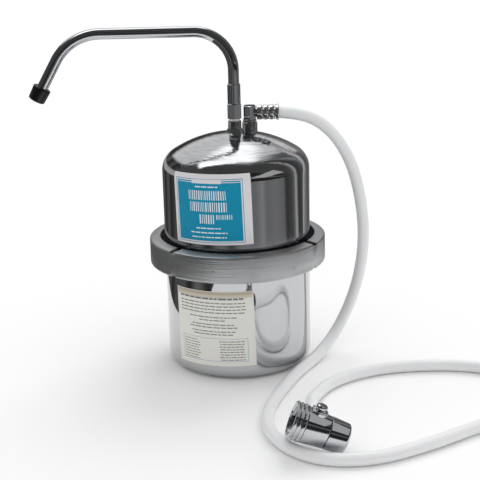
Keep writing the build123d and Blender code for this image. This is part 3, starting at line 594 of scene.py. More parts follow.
class Pipe:
    """Tube drawn by pulling and bending the rings at its end."""

    def __init__(self, radii: Sequence[float], place: Point, segments: int = 48) -> None:
        """Start a tube that points up.

        Args:
            radii: radius of each wall's ring, outer one first.
            place: centre of the start.
            segments: facets round it.
        """
        self.shape = bmesh.new()
        for radius in radii:
            bmesh.ops.create_circle(
                self.shape, cap_ends=False, radius=radius, segments=segments,
                matrix=Matrix.Translation(place),
            )
        self.start = self.shape.edges[:]
        self.end = self.start

    def pull(self, by: Point) -> "Pipe":
        """Pull the end straight on.

        Args:
            by: how far, along X, Y and Z.

        Returns:
            This tube, for the next run.
        """
        made = bmesh.ops.extrude_edge_only(self.shape, edges=self.end)["geom"]
        self.end = [part for part in made if isinstance(part, bmesh.types.BMEdge)]
        corners = [part for part in made if isinstance(part, bmesh.types.BMVert)]
        self.end = [edge for edge in self.end if all(end in corners for end in edge.verts)]
        bmesh.ops.translate(self.shape, verts=corners, vec=by)
        return self

    def bend(self, centre: Point, axis: Point, turn: float, steps: int) -> "Pipe":
        """Bend the end on.

        Args:
            centre: centre of the bend.
            axis: axis that it turns about.
            turn: degrees.
            steps: facets of the bend.

        Returns:
            This tube, for the next run.
        """
        corners = {corner for edge in self.end for corner in edge.verts}
        made = bmesh.ops.spin(
            self.shape, geom=list(corners) + self.end, cent=centre, axis=axis,
            angle=math.radians(turn), steps=steps,
        )
        self.end = [part for part in made["geom_last"] if isinstance(part, bmesh.types.BMEdge)]
        return self

    def finished(self) -> bmesh.types.BMesh:
        """Close both ends between the outer and the inner wall.

        Returns:
            A closed shape.
        """
        for ring in (self.start, self.end):
            bmesh.ops.bridge_loops(self.shape, edges=ring)
        return tidied(self.shape)


def add_piece(
    name: str,
    shape: bmesh.types.BMesh,
    body: Body,
    finish: Finish | Sequence[Finish],
    place: Matrix = HERE,
    stands_for: Sequence[str] = (),
) -> bpy.types.Object:
    """Make a piece of the object from a shape in millimetres.

    Args:
        name: name of the piece.
        shape: its shape, which is used up.
        body: body that it rides on.
        finish: its finish, or the finishes that its faces choose from, main one first.
        place: place of the frame that the shape was drawn in.
        stands_for: CAD nodes that it replaces.

    Returns:
        The piece's object, at the origin.
    """
    finishes = [finish] if isinstance(finish, Finish) else list(finish)
    moved(shape, Matrix.Scale(MM, 4) @ place)
    for face in shape.faces:
        face.smooth = True
    for edge in shape.edges:
        edge.smooth = edge.calc_face_angle(0.0) < SHARP
    mesh = bpy.data.meshes.new(name)
    shape.to_mesh(mesh)
    shape.free()
    for choice in finishes:
        mesh.materials.append(choice.material())
    piece = bpy.data.objects.new(name, mesh)
    bpy.context.scene.collection.objects.link(piece)
    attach(piece, body.value)
    if stands_for:
        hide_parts(*stands_for)
    LOG.info("made %s, %d faces, %s", name, len(mesh.polygons), finishes[0].name)
    return piece


@dataclass
class Housing:
    """Deep drawn pot and dome, with the rolled rings welded round their rims."""

    radius: float = 70.0
    wall: float = 1.2
    base_corner: float = 12.0
    parting: float = 113.3
    half_gap: float = 1.0
    crown_radius: float = 113.8
    crown_centre: float = 111.3
    shoulder_radius: float = 21.3
    shoulder_centre: float = 189.937
    shoulder_start: float = 58.2313
    hole: float = 8.6
    ring_radius: float = 82.7
    ring_corner: float = 10.774
    ring_inner_corner: float = 9.63
    lip_radius: float = 75.6
    lip_top: float = 11.772
    lip_bottom: float = 10.459
    facets: int = 144
    corner_steps: int = 14
    shoulder_steps: int = 24
    crown_steps: int = 32
    inner_shoulder_steps: int = 16
    inner_crown_steps: int = 24

    def pot(self) -> None:
        """Drawn cup with a flat base and a rounded corner."""
        corner, radius, inner = self.base_corner, self.radius, self.radius - self.wall
        rim = self.parting - self.half_gap
        outline = Outline(0, 0).to(radius - corner, 0)
        outline.arc(radius - corner, corner, 90, self.corner_steps)
        outline.to(radius, rim).to(inner, rim).to(inner, corner)
        outline.arc(radius - corner, corner, -90, self.corner_steps).to(0, self.wall)
        add_piece(
            "pot_shell", outline.spun(self.facets), Body.HOUSING, MIRROR_STEEL,
            stands_for=["lower_pot"],
        )

    def crown_turn(self, reach: float) -> float:
        """Degrees of the crown's arc of one radius, from the shoulder to the hole."""
        return 90 - self.shoulder_start - math.degrees(math.asin(self.hole / reach))

    def dome(self) -> None:
        """Drawn dome: shallow crown, tight shoulder, straight wall."""
        radius, wall = self.radius, self.wall
        rim = self.parting + self.half_gap
        shoulder_at = radius - self.shoulder_radius
        inner = self.crown_radius - wall
        outline = Outline(radius, rim).to(radius, self.shoulder_centre)
        outline.arc(shoulder_at, self.shoulder_centre, self.shoulder_start, self.shoulder_steps)
        outline.arc(0, self.crown_centre, self.crown_turn(self.crown_radius), self.crown_steps)
        outline.to(self.hole, self.crown_centre + math.sqrt(inner**2 - self.hole**2))
        outline.arc(0, self.crown_centre, -self.crown_turn(inner), self.inner_crown_steps)
        outline.arc(
            shoulder_at, self.shoulder_centre, -self.shoulder_start, self.inner_shoulder_steps
        )
        outline.to(radius - wall, rim).close()
        add_piece(
            "dome_shell", outline.spun(self.facets), Body.HOUSING, DOME_STEEL,
            stands_for=["upper_dome"],
        )

    def flanges(self) -> None:
        """Rolled rings whose sloping backs the clamp pulls together."""
        low, inner = self.half_gap, self.ring_radius - self.wall
        for name, side in (("upper_flange", 1), ("lower_flange", -1)):
            ring = Outline(self.radius, low).to(self.ring_radius, low, 0.4)
            ring.to(self.ring_radius, self.ring_corner, 1.0).to(self.lip_radius, self.lip_top, 0.4)
            ring.to(self.lip_radius, self.lip_bottom, 0.3).to(inner, self.ring_inner_corner, 0.4)
            ring.to(inner, low + self.wall, 0.4).to(self.radius, low + self.wall).close()
            shape = moved(ring.spun(self.facets), Matrix.Scale(side, 4, (0, 0, 1)))
            add_piece(
                name.replace("flange", "rim_ring"), shape, Body.HOUSING, TURNED_STEEL,
                Matrix.Translation((0, 0, self.parting)), [name],
            )

    def build(self) -> None:
        """Make pot, dome and rim rings."""
        self.pot()
        self.dome()
        self.flanges()


@dataclass
class BandClamp:
    """Brushed V-section band in three stretches, with a rolled loop at each arm's end."""

    outer: float = 84.6
    wall: float = 1.3
    half_height: float = 12.2
    rim_radius: float = 74.5
    rim_height: float = 13.62
    leg: float = 1.313
    corner: float = 1.8
    strap_half: float = 10.3
    front_half_angle: float = 51.9
    notch: float = 7.0
    slit: float = 0.3
    back_slope: float = 8.0
    weld_radius: float = 1.7
    weld_floor: float = 0.06
    weld_rim: float = 0.3
    weld_depth: float = 0.4
    weld_places: Sequence[Sequence[float]] = ((-22.3, -1.8), (31.1, -3.7))
    end_gap: float = 17.0
    loop_radius: float = 6.5
    loop_hole: float = 5.2
    loop_half: float = 11.0
    loop_window: float = 5.2
    loop_x: float = 16.0
    loop_y: float = 89.074
    middle: float = 113.3
    clocking: float = 6.4

    @property
    def place(self) -> Matrix:
        """Place of the clamp's middle, clocked to where its closure stands."""
        turn = Matrix.Rotation(math.radians(self.clocking), 4, "Z")
        return Matrix.Translation((0, 0, self.middle)) @ turn

    def channel(self) -> Outline:
        """Section of the V channel, its rims and bends rounded.

        Returns:
            The closed outline.
        """
        inner = self.outer - self.wall
        foot = self.half_height - self.leg + self.wall * math.tan(math.radians(self.back_slope))
        section = Outline(self.outer, -self.half_height)
        section.rounded.append((section.first, self.corner, 5))
        section.to(self.outer, self.half_height, self.corner, 5)
        section.to(self.rim_radius, self.rim_height, 0.4, 3)
        section.to(self.rim_radius, self.rim_height - self.leg, 0.4, 3)
        section.to(inner, foot, 0.9, 3).to(inner, -foot, 0.9, 3)
        section.to(self.rim_radius, self.leg - self.rim_height, 0.4, 3)
        section.to(self.rim_radius, -self.rim_height, 0.4, 3)
        return section.close()

    def stretch(
        self, first: float, last: float, notch_first: bool, notch_last: bool
    ) -> bmesh.types.BMesh:
        """Stretch of the band whose legs stop short at a notch.

        Args:
            first: angle where it starts, in degrees from +X.
            last: angle where it ends.
            notch_first: whether a notch is cut at its start.
            notch_last: whether a notch is cut at its end.

        Returns:
            Its shape, before the clamp is clocked.
        """
        cut = math.degrees(self.notch / 2 / self.outer)
        slit = math.degrees(self.slit / 2 / self.outer)
        start = first + cut * notch_first
        sweep = last - cut * notch_last - start
        band = self.channel().spun(round(sweep * 1.2), sweep, start)
        inner, half = self.outer - self.wall, self.strap_half
        parts = [band]
        for wanted, angle in ((notch_first, first + slit), (notch_last, last - cut)):
            if wanted:
                tongue = Outline(self.outer, -half).to(self.outer, half, 0.25, 2)
                tongue.rounded.append((tongue.first, 0.25, 2))
                tongue = tongue.to(inner, half).to(inner, -half).close()
                parts.append(tongue.spun(3, cut - slit, angle))
        return joined(*parts)

    def weld_mark(self, turn: float, height: float) -> bmesh.types.BMesh:
        """Small crater that a spot weld leaves on the band's face.

        Args:
            turn: its place from the front, in degrees.
            height: its height over the band's middle.

        Returns:
            Its shape, before the clamp is clocked.
        """
        radius, depth = self.weld_radius, self.weld_depth
        floor, rim = self.weld_floor, self.weld_rim
        mark = Outline(0, floor).to(0.35 * radius, floor, 0.2).to(0.65 * radius, rim, 0.2)
        mark = mark.to(radius, 0.0).to(radius, -depth).to(0, -depth).spun(24)
        outwards = Matrix.Rotation(math.radians(90), 4, "X")
        face = Matrix.Translation((0, -self.outer, height)) @ outwards
        return moved(mark, Matrix.Rotation(math.radians(turn), 4, "Z") @ face)

    def loop(self) -> bmesh.types.BMesh:
        """Rolled end of the right arm, with the window that the bolt swings in.

        Returns:
            Its two rings, before the clamp is clocked.
        """
        rings = []
        for low, high in ((-self.loop_half, -self.loop_window), (self.loop_window, self.loop_half)):
            ring = Outline(self.loop_radius, low).to(self.loop_radius, high, 0.35)
            ring.rounded.append((ring.first, 0.35, 3))
            ring = ring.to(self.loop_hole, high, 0.3).to(self.loop_hole, low, 0.3).close()
            rings.append(moved(ring.spun(40), Matrix.Translation((self.loop_x, self.loop_y, 0))))
        return joined(*rings)

    def build(self) -> None:
        """Make the front stretch and the two arms with their loops."""
        half = self.front_half_angle
        front = self.stretch(-90 - half, -90 + half, True, True)
        front = joined(front, *[self.weld_mark(turn, height) for turn, height in self.weld_places])
        add_piece(
            "band_front", front, Body.HOUSING, BRUSHED_STRIP, self.place, ["clamp_front_segment"]
        )
        end = 90 - math.degrees(math.asin(self.end_gap / 2 / self.outer))
        sides = (("left", Body.CLAMP_LEFT, -1), ("right", Body.CLAMP_RIGHT, 1))
        for side, body, way in sides:
            arm = joined(self.stretch(-90 + half, end, True, False), self.loop())
            add_piece(
                f"band_{side}_arm", moved(arm, Matrix.Scale(way, 4, (1, 0, 0))), body,
                BRUSHED_STRIP, self.place, [f"clamp_{side}_arm"],
            )


@dataclass
class Closure:
    """T-bolt, drilled trunnion and nut that draw the arms together at the back."""

    clamp: BandClamp
    pin_radius: float = 5.1
    pin_half: float = 11.0
    bolt_radius: float = 3.0
    thread_start: float = 4.0
    thread_depth: float = 0.5
    pitch: float = 1.0
    point_length: float = 0.7
    point_radius: float = 2.5
    point_end: float = 2.0
    boss_bore: float = 3.1
    boss_radius: float = 4.3
    boss_reach: float = 8.5
    washer: float = 1.2
    nut_flats: float = 10.0
    nut_corner: float = 5.7735
    nut_face: float = 4.85
    nut_bore: float = 3.06
    nut_height: float = 5.6
    nut_drop: float = 0.5
    nut_lead: float = 0.3
    spare: float = 15.0

    def pin(self, side: int) -> bmesh.types.BMesh:
        """Round pin in one arm's loop.

        Args:
            side: minus one for the left, one for the right.

        Returns:
            Its shape, before the clamp is clocked.
        """
        pin = Outline(0, -self.pin_half).to(self.pin_radius, -self.pin_half, 0.5)
        pin = pin.to(self.pin_radius, self.pin_half, 0.5).to(0, self.pin_half).spun(48)
        return moved(pin, Matrix.Translation((side * self.clamp.loop_x, self.clamp.loop_y, 0)))

    def build(self) -> None:
        """Make bolt, trunnion and nut in the clamp's place."""
        place, loop = self.clamp.place, self.clamp.loop_x
        sideways = Matrix.Rotation(math.radians(90), 4, "Y")
        along = Matrix.Translation((0, self.clamp.loop_y, 0)) @ sideways
        boss_end = loop + self.boss_reach
        seat = boss_end + self.washer
        tip = seat + self.nut_height + self.spare
        plain = Outline(0, -loop).to(self.bolt_radius, -loop)
        plain = plain.to(self.bolt_radius, self.thread_start, 0.3).to(0, self.thread_start).spun(32)
        thread_end = tip - self.point_length
        thread = screw_thread(
            self.bolt_radius, self.thread_depth, self.pitch, self.thread_start, thread_end
        )
        point = Outline(0, thread_end).to(self.point_radius, thread_end)
        point = point.to(self.point_end, tip).to(0, tip).spun(32)
        bolt = joined(self.pin(-1), *[moved(part, along) for part in (plain, thread, point)])
        add_piece("t_bolt", bolt, Body.CLAMP_BOLT, TURNED_STEEL, place, ["clamp_t_bolt"])
        boss = Outline(self.boss_bore, loop).to(self.boss_radius, loop)
        boss.to(self.boss_radius, boss_end, 0.4).to(self.boss_bore, boss_end).close()
        trunnion = joined(self.pin(1), moved(boss.spun(40), along))
        add_piece("trunnion", trunnion, Body.NUT_END, TURNED_STEEL, place, ["clamp_trunnion"])
        nut = self.hexagon_nut(seat, seat + self.nut_height)
        add_piece("bolt_nut", moved(nut, along), Body.NUT_END, TURNED_STEEL, place, ["clamp_nut"])

    def hexagon_nut(self, low: float, high: float) -> bmesh.types.BMesh:
        """Nut with both faces chamfered.

        Args:
            low: height of its lower face.
            high: height of its upper face.

        Returns:
            Its shape on Z.
        """
        bore, lead, corner, face = self.nut_bore, self.nut_lead, self.nut_corner, self.nut_face
        nut = Outline(bore + lead, low).to(face, low).to(corner, low + self.nut_drop)
        nut.to(corner, high - self.nut_drop).to(face, high).to(bore + lead, high)
        nut.to(bore, high - lead).to(bore, low + lead).close()
        return cut_flats(nut.spun(96), self.nut_flats)


@dataclass
class Spout:
    """Outlet port, washer, hexagon gland, and the gooseneck with its sleeve and black tip."""

    bush_radius: float = 10.0
    bush_bottom: float = 207.1
    socket_radius: float = 8.05
    waterway: float = 3.2
    waterway_bottom: float = 216.1
    waterway_top: float = 225.2
    foot_radius: float = 8.6
    foot_bottom: float = 223.3
    foot_top: float = 225.0
    flare_top: float = 228.7
    port_radius: float = 6.3
    port_bore: float = 4.1
    port_top: float = 235.4
    washer_radius: float = 5.15
    spigot_radius: float = 4.02
    spigot_bottom: float = 227.2
    gland_bottom: float = 237.7
    gland_top: float = 251.7
    gland_flats: float = 13.0
    gland_corner: float = 7.5056
    gland_chamfer: float = 1.1
    gland_crown: float = 6.0
    gland_bore: float = 4.78
    gland_floor: float = 239.7
    ring_groove: float = 5.45
    stem_bore: float = 2.6
    stem_radius: float = 4.7
    stem_bottom: float = 239.95
    grooves: Sequence[Sequence[float]] = (
        (242.6, 244.1, 3.58), (245.8, 247.3, 3.58), (249.2, 250.3, 3.85),
    )
    sleeve_bottom: float = 251.95
    sleeve_radius: float = 6.15
    sleeve_crown: float = 5.65
    sleeve_top: float = 269.95
    tube_bottom: float = 256.95
    tube_radius: float = 5.1
    tube_wall: float = 0.9
    tube_fit: float = 0.04
    top: float = 318.8
    reach: float = 150.4
    first_bend: float = 36.0
    first_steps: int = 36
    second_bend: float = 48.0
    second_steps: int = 24
    down_angle: float = 60.0
    down_length: float = 63.5
    tip_top_radius: float = 8.5
    tip_end_radius: float = 7.8
    tip_round: float = 1.4
    tip_bore: float = 4.3
    tip_length: float = 13.8
    tip_depth: float = 8.0

    def port(self) -> None:
        """Threaded bush welded in the dome, its foot flared."""
        bush = Outline(self.socket_radius, self.bush_bottom).to(self.bush_radius, self.bush_bottom)
        bush.to(self.bush_radius, self.foot_bottom).to(self.foot_radius, self.foot_bottom)
        bush.to(self.foot_radius, self.foot_top, 0.3).to(self.port_radius, self.flare_top, 3.0, 5)
        bush.to(self.port_radius, self.port_top, 0.5).to(self.port_bore, self.port_top, 0.3)
        bush.to(self.port_bore, self.waterway_top).to(self.waterway, self.waterway_top)
        bush.to(self.waterway, self.waterway_bottom)
        shape = bush.to(self.socket_radius, self.waterway_bottom).close().spun()
        add_piece(
            "outlet_port", shape, Body.HOUSING, TURNED_STEEL, stands_for=["outlet_port_fitting"]
        )

    def washer(self) -> None:
        """Soft washer squeezed between port and gland."""
        low, high = self.port_top, self.gland_bottom
        ring = Outline(self.port_bore, low).to(self.washer_radius, low, 0.5)
        shape = ring.to(self.washer_radius, high, 0.5).to(self.port_bore, high).close().spun()
        add_piece(
            "gland_washer", shape, Body.HOUSING, NATURAL_NYLON, stands_for=["spout_washer"]
        )

    def gland(self) -> None:
        """Hexagon gland, chamfered at its top, with the bored socket of the stem."""
        low, high = self.gland_bottom, self.gland_top
        corner, bore, groove = self.gland_corner, self.gland_bore, self.ring_groove
        ring_low, ring_high, _ = self.grooves[-1]
        gland = Outline(self.stem_bore, self.spigot_bottom)
        gland.to(self.spigot_radius, self.spigot_bottom, 0.3).to(self.spigot_radius, low)
        gland.to(corner - 0.5, low).to(corner, low + 0.3).to(corner, high - self.gland_chamfer)
        gland.to(self.gland_crown, high).to(bore, high, 0.2)
        gland.to(bore, ring_high).to(groove, ring_high).to(groove, ring_low).to(bore, ring_low)
        gland.to(bore, self.gland_floor).to(self.stem_bore, self.gland_floor).close()
        shape = cut_flats(gland.spun(120), self.gland_flats)
        add_piece("gland_hexagon", shape, Body.HOUSING, BRIGHT_CHROME, stands_for=["spout_gland"])

    def sleeve(self) -> None:
        """Sleeve soldered on the tube, with the grooved stem that turns in the gland."""
        stem, bore = self.stem_radius, self.tube_radius + self.tube_fit
        sleeve = Outline(self.stem_bore, self.stem_bottom).to(stem, self.stem_bottom, 0.3)
        for low, high, depth in self.grooves:
            sleeve.to(stem, low).to(depth, low).to(depth, high).to(stem, high)
        sleeve.to(stem, self.sleeve_bottom).to(self.sleeve_radius, self.sleeve_bottom, 0.25)
        sleeve.to(self.sleeve_radius, self.sleeve_top - 0.5).to(self.sleeve_crown, self.sleeve_top)
        sleeve.to(bore, self.sleeve_top).to(bore, self.tube_bottom)
        shape = sleeve.to(self.stem_bore, self.tube_bottom).close().spun()
        add_piece("stem_sleeve", shape, Body.SPOUT, BRIGHT_CHROME, stands_for=["spout_sleeve"])

    def tube(self) -> None:
        """Gooseneck bent twice in one plane."""
        down = math.radians(self.down_angle)
        tangent = self.second_bend * math.tan(down / 2)
        crest = self.reach - tangent
        run = self.down_length - tangent
        low = self.tube_bottom
        pipe = Pipe((self.tube_radius, self.tube_radius - self.tube_wall), (0, 0, low))
        pipe.pull((0, 0, self.top - self.first_bend - low))
        centre = (-self.first_bend, 0, self.top - self.first_bend)
        pipe.bend(centre, (0, -1, 0), 90, self.first_steps)
        pipe.pull((self.first_bend - crest, 0, 0))
        centre = (-crest, 0, self.top - self.second_bend)
        pipe.bend(centre, (0, -1, 0), self.down_angle, self.second_steps)
        pipe.pull((-run * math.cos(down), 0, -run * math.sin(down)))
        shape = pipe.finished()
        add_piece("gooseneck", shape, Body.SPOUT, BRIGHT_CHROME, stands_for=["spout_tube"])

    def tip(self) -> None:
        """Black cap pushed on the tube's end, with its bore open."""
        fit, length, rounding = self.tube_radius + self.tube_fit, self.tip_length, self.tip_round
        tip = Outline(fit, 0).to(self.tip_top_radius, 0, rounding, 6)
        tip.to(self.tip_end_radius, length, rounding, 6).to(self.tip_bore, length, 0.4)
        tip.to(self.tip_bore, self.tip_depth).to(fit, self.tip_depth).close()
        down = math.radians(self.down_angle)
        out = self.reach + self.down_length * math.cos(down)
        end = Vector((-out, 0, self.top - self.down_length * math.sin(down)))
        place = Matrix.Translation(end) @ Matrix.Rotation(-down - math.radians(90), 4, "Y")
        place = place @ Matrix.Translation((0, 0, -self.tip_depth))
        add_piece("outlet_tip", tip.spun(72), Body.SPOUT, BLACK_ABS, place, ["spout_tip"])

    def build(self) -> None:
        """Make the stack from the dome up, and the gooseneck."""
        self.port()
        self.washer()
        self.gland()
        self.sleeve()
        self.tube()
        self.tip()


@dataclass
class HoseEnd:
    """Barbed nipple and the crimped ferrule that holds the hose on it."""

    neck_radius: float = 4.6
    neck_length: float = 2.2
    barbs: int = 4
    barb_radius: float = 3.35
    ridge_radius: float = 3.5
    barb_length: float = 18.0
    bore: float = 2.4
    length: float = 20.6
    radius: float = 7.1
    end_radius: float = 7.7
    end_length: float = 1.4
    inside: float = 5.6
    floor: float = 1.6
    rings: int = 60
    crimps: int = 3
    crimp_depth: float = 0.9
    crimp_half: float = 1.7
    crimp_edge: float = 1.5
    jaws: int = 8
    jaw_share: float = 0.28

    def nipple(self, start: float, base: float) -> bmesh.types.BMesh:
        """Neck and barbs along +Z.

        Args:
            start: height where the neck's free length starts.
            base: height that the neck reaches back to.

        Returns:
            Their shape.
        """
        shoulder = start + self.neck_length
        end = shoulder + self.barb_length
        nipple = Outline(self.bore, base).to(self.neck_radius, base)
        nipple.to(self.neck_radius, shoulder).to(self.barb_radius, shoulder)
        pitch = self.barb_length / self.barbs
        for index in range(self.barbs):
            low = shoulder + pitch * (index + 0.25)
            nipple.to(self.barb_radius, low).to(self.ridge_radius, low)
            nipple.to(self.barb_radius, low + pitch / 2)
        return nipple.to(self.barb_radius, end).to(self.bore, end).close().spun(40)

    def ferrule(self) -> bmesh.types.BMesh:
        """Ferrule along +Z, squeezed at its stations by the eight jaws of a crimping tool.

        Returns:
            Its shape.
        """
        body = self.length - self.end_length
        sleeve = Outline(self.neck_radius, 0).to(self.radius, 0, 0.8, 4)
        pitch = body / (self.crimps + 0.5)
        stations = [pitch * (index + 1) for index in range(self.crimps)]
        for index in range(self.rings):
            sleeve.to(self.radius, 1.0 + (body - 1.4) * index / (self.rings - 1))
        sleeve.to(self.end_radius, self.length - 0.6, 0.4)
        sleeve.to(self.end_radius - 0.2, self.length, 0.2).to(self.inside, self.length)
        sleeve.to(self.inside, self.floor).to(self.neck_radius, self.floor)
        shape = sleeve.close().spun(self.jaws * 12)
        for corner in shape.verts:
            reach = math.hypot(corner.co.x, corner.co.y)
            if reach < self.radius - 0.5 or corner.co.z > body:
                continue
            jaw = math.cos(math.atan2(corner.co.y, corner.co.x) * self.jaws)
            depth = self.crimp_depth * (1 - self.jaw_share + self.jaw_share * jaw)
            for station in stations:
                off = abs(corner.co.z - station) / self.crimp_half
                if off < 1:
                    share = math.cos(off * math.pi / 2) ** self.crimp_edge
                    scale = 1 - depth * share / reach
                    corner.co.x *= scale
                    corner.co.y *= scale
        return shape


@dataclass
class Inlet:
    """Inlet port and the hexagon elbow that turns the hose's end to the right."""

    x: float = 14.4
    y: float = 10.0
    bush_radius: float = 5.9
    bush_bottom: float = 218.54
    waterway: float = 3.0
    port_radius: float = 7.2
    port_bottom: float = 221.6
    port_bore: float = 4.7
    port_floor: float = 223.4
    port_top: float = 232.4
    spigot_radius: float = 4.62
    spigot_bottom: float = 223.6
    collar_bottom: float = 232.6
    collar_radius: float = 6.4
    hexagon_bottom: float = 235.0
    hexagon_top: float = 248.0
    hexagon_chamfer: float = 0.9
    hexagon_crown: float = 5.4
    flats: float = 11.5
    exit_height: float = 241.2

    def port(self, place: Matrix) -> None:
        """Add the port's bush, welded in the dome.

        Args:
            place: place of its axis.
        """
        port = Outline(self.waterway, self.bush_bottom).to(self.bush_radius, self.bush_bottom)
        port.to(self.bush_radius, self.port_bottom).to(self.port_radius, self.port_bottom)
        port.to(self.port_radius, self.port_top, 1.0, 5).to(self.port_bore, self.port_top, 0.3)
        port.to(self.port_bore, self.port_floor).to(self.waterway, self.port_floor).close()
        add_piece(
            "inlet_port", port.spun(72), Body.HOUSING, TURNED_STEEL, place, ["inlet_port_fitting"]
        )

    def collar(self, bore: float) -> bmesh.types.BMesh:
        """Elbow's spigot and its round collar.

        Args:
            bore: radius of the hole through both.

        Returns:
            Their shape.
        """
        low, high = self.collar_bottom, self.hexagon_bottom
        collar = Outline(bore, self.spigot_bottom).to(self.spigot_radius, self.spigot_bottom, 0.3)
        collar.to(self.spigot_radius, low).to(self.collar_radius, low, 0.5)
        return collar.to(self.collar_radius, high, 0.5).to(bore, high).close().spun(72)

    def head(self) -> bmesh.types.BMesh:
        """Elbow's hexagon head, chamfered at its top.

        Returns:
            Its shape.
        """
        low, high = self.hexagon_bottom, self.hexagon_top
        corner = self.flats / 2 / math.cos(math.radians(30))
        head = Outline(0, low).to(corner, low).to(corner, high - self.hexagon_chamfer)
        return cut_flats(head.to(self.hexagon_crown, high).to(0, high).spun(120), self.flats)

    def build(self, end: HoseEnd) -> None:
        """Make port, elbow and ferrule.

        Args:
            end: the hose end that sits on the elbow.
        """
        place = Matrix.Translation((self.x, self.y, 0))
        self.port(place)
        sideways = Matrix.Rotation(math.radians(90), 4, "Y")
        exit_at = Matrix.Translation((0, 0, self.exit_height)) @ sideways
        nipple = moved(end.nipple(self.flats / 2, 1.0), exit_at)
        elbow = joined(self.collar(end.bore), self.head(), nipple)
        add_piece("hexagon_elbow", elbow, Body.HOUSING, BRIGHT_CHROME, place, ["inlet_elbow"])
        start = self.flats / 2 + end.neck_length / 2
        add_piece(
            "elbow_ferrule", end.ferrule(), Body.HOUSING, STAMPED_NICKEL,
            place @ exit_at @ Matrix.Translation((0, 0, start)), ["inlet_ferrule"],
        )


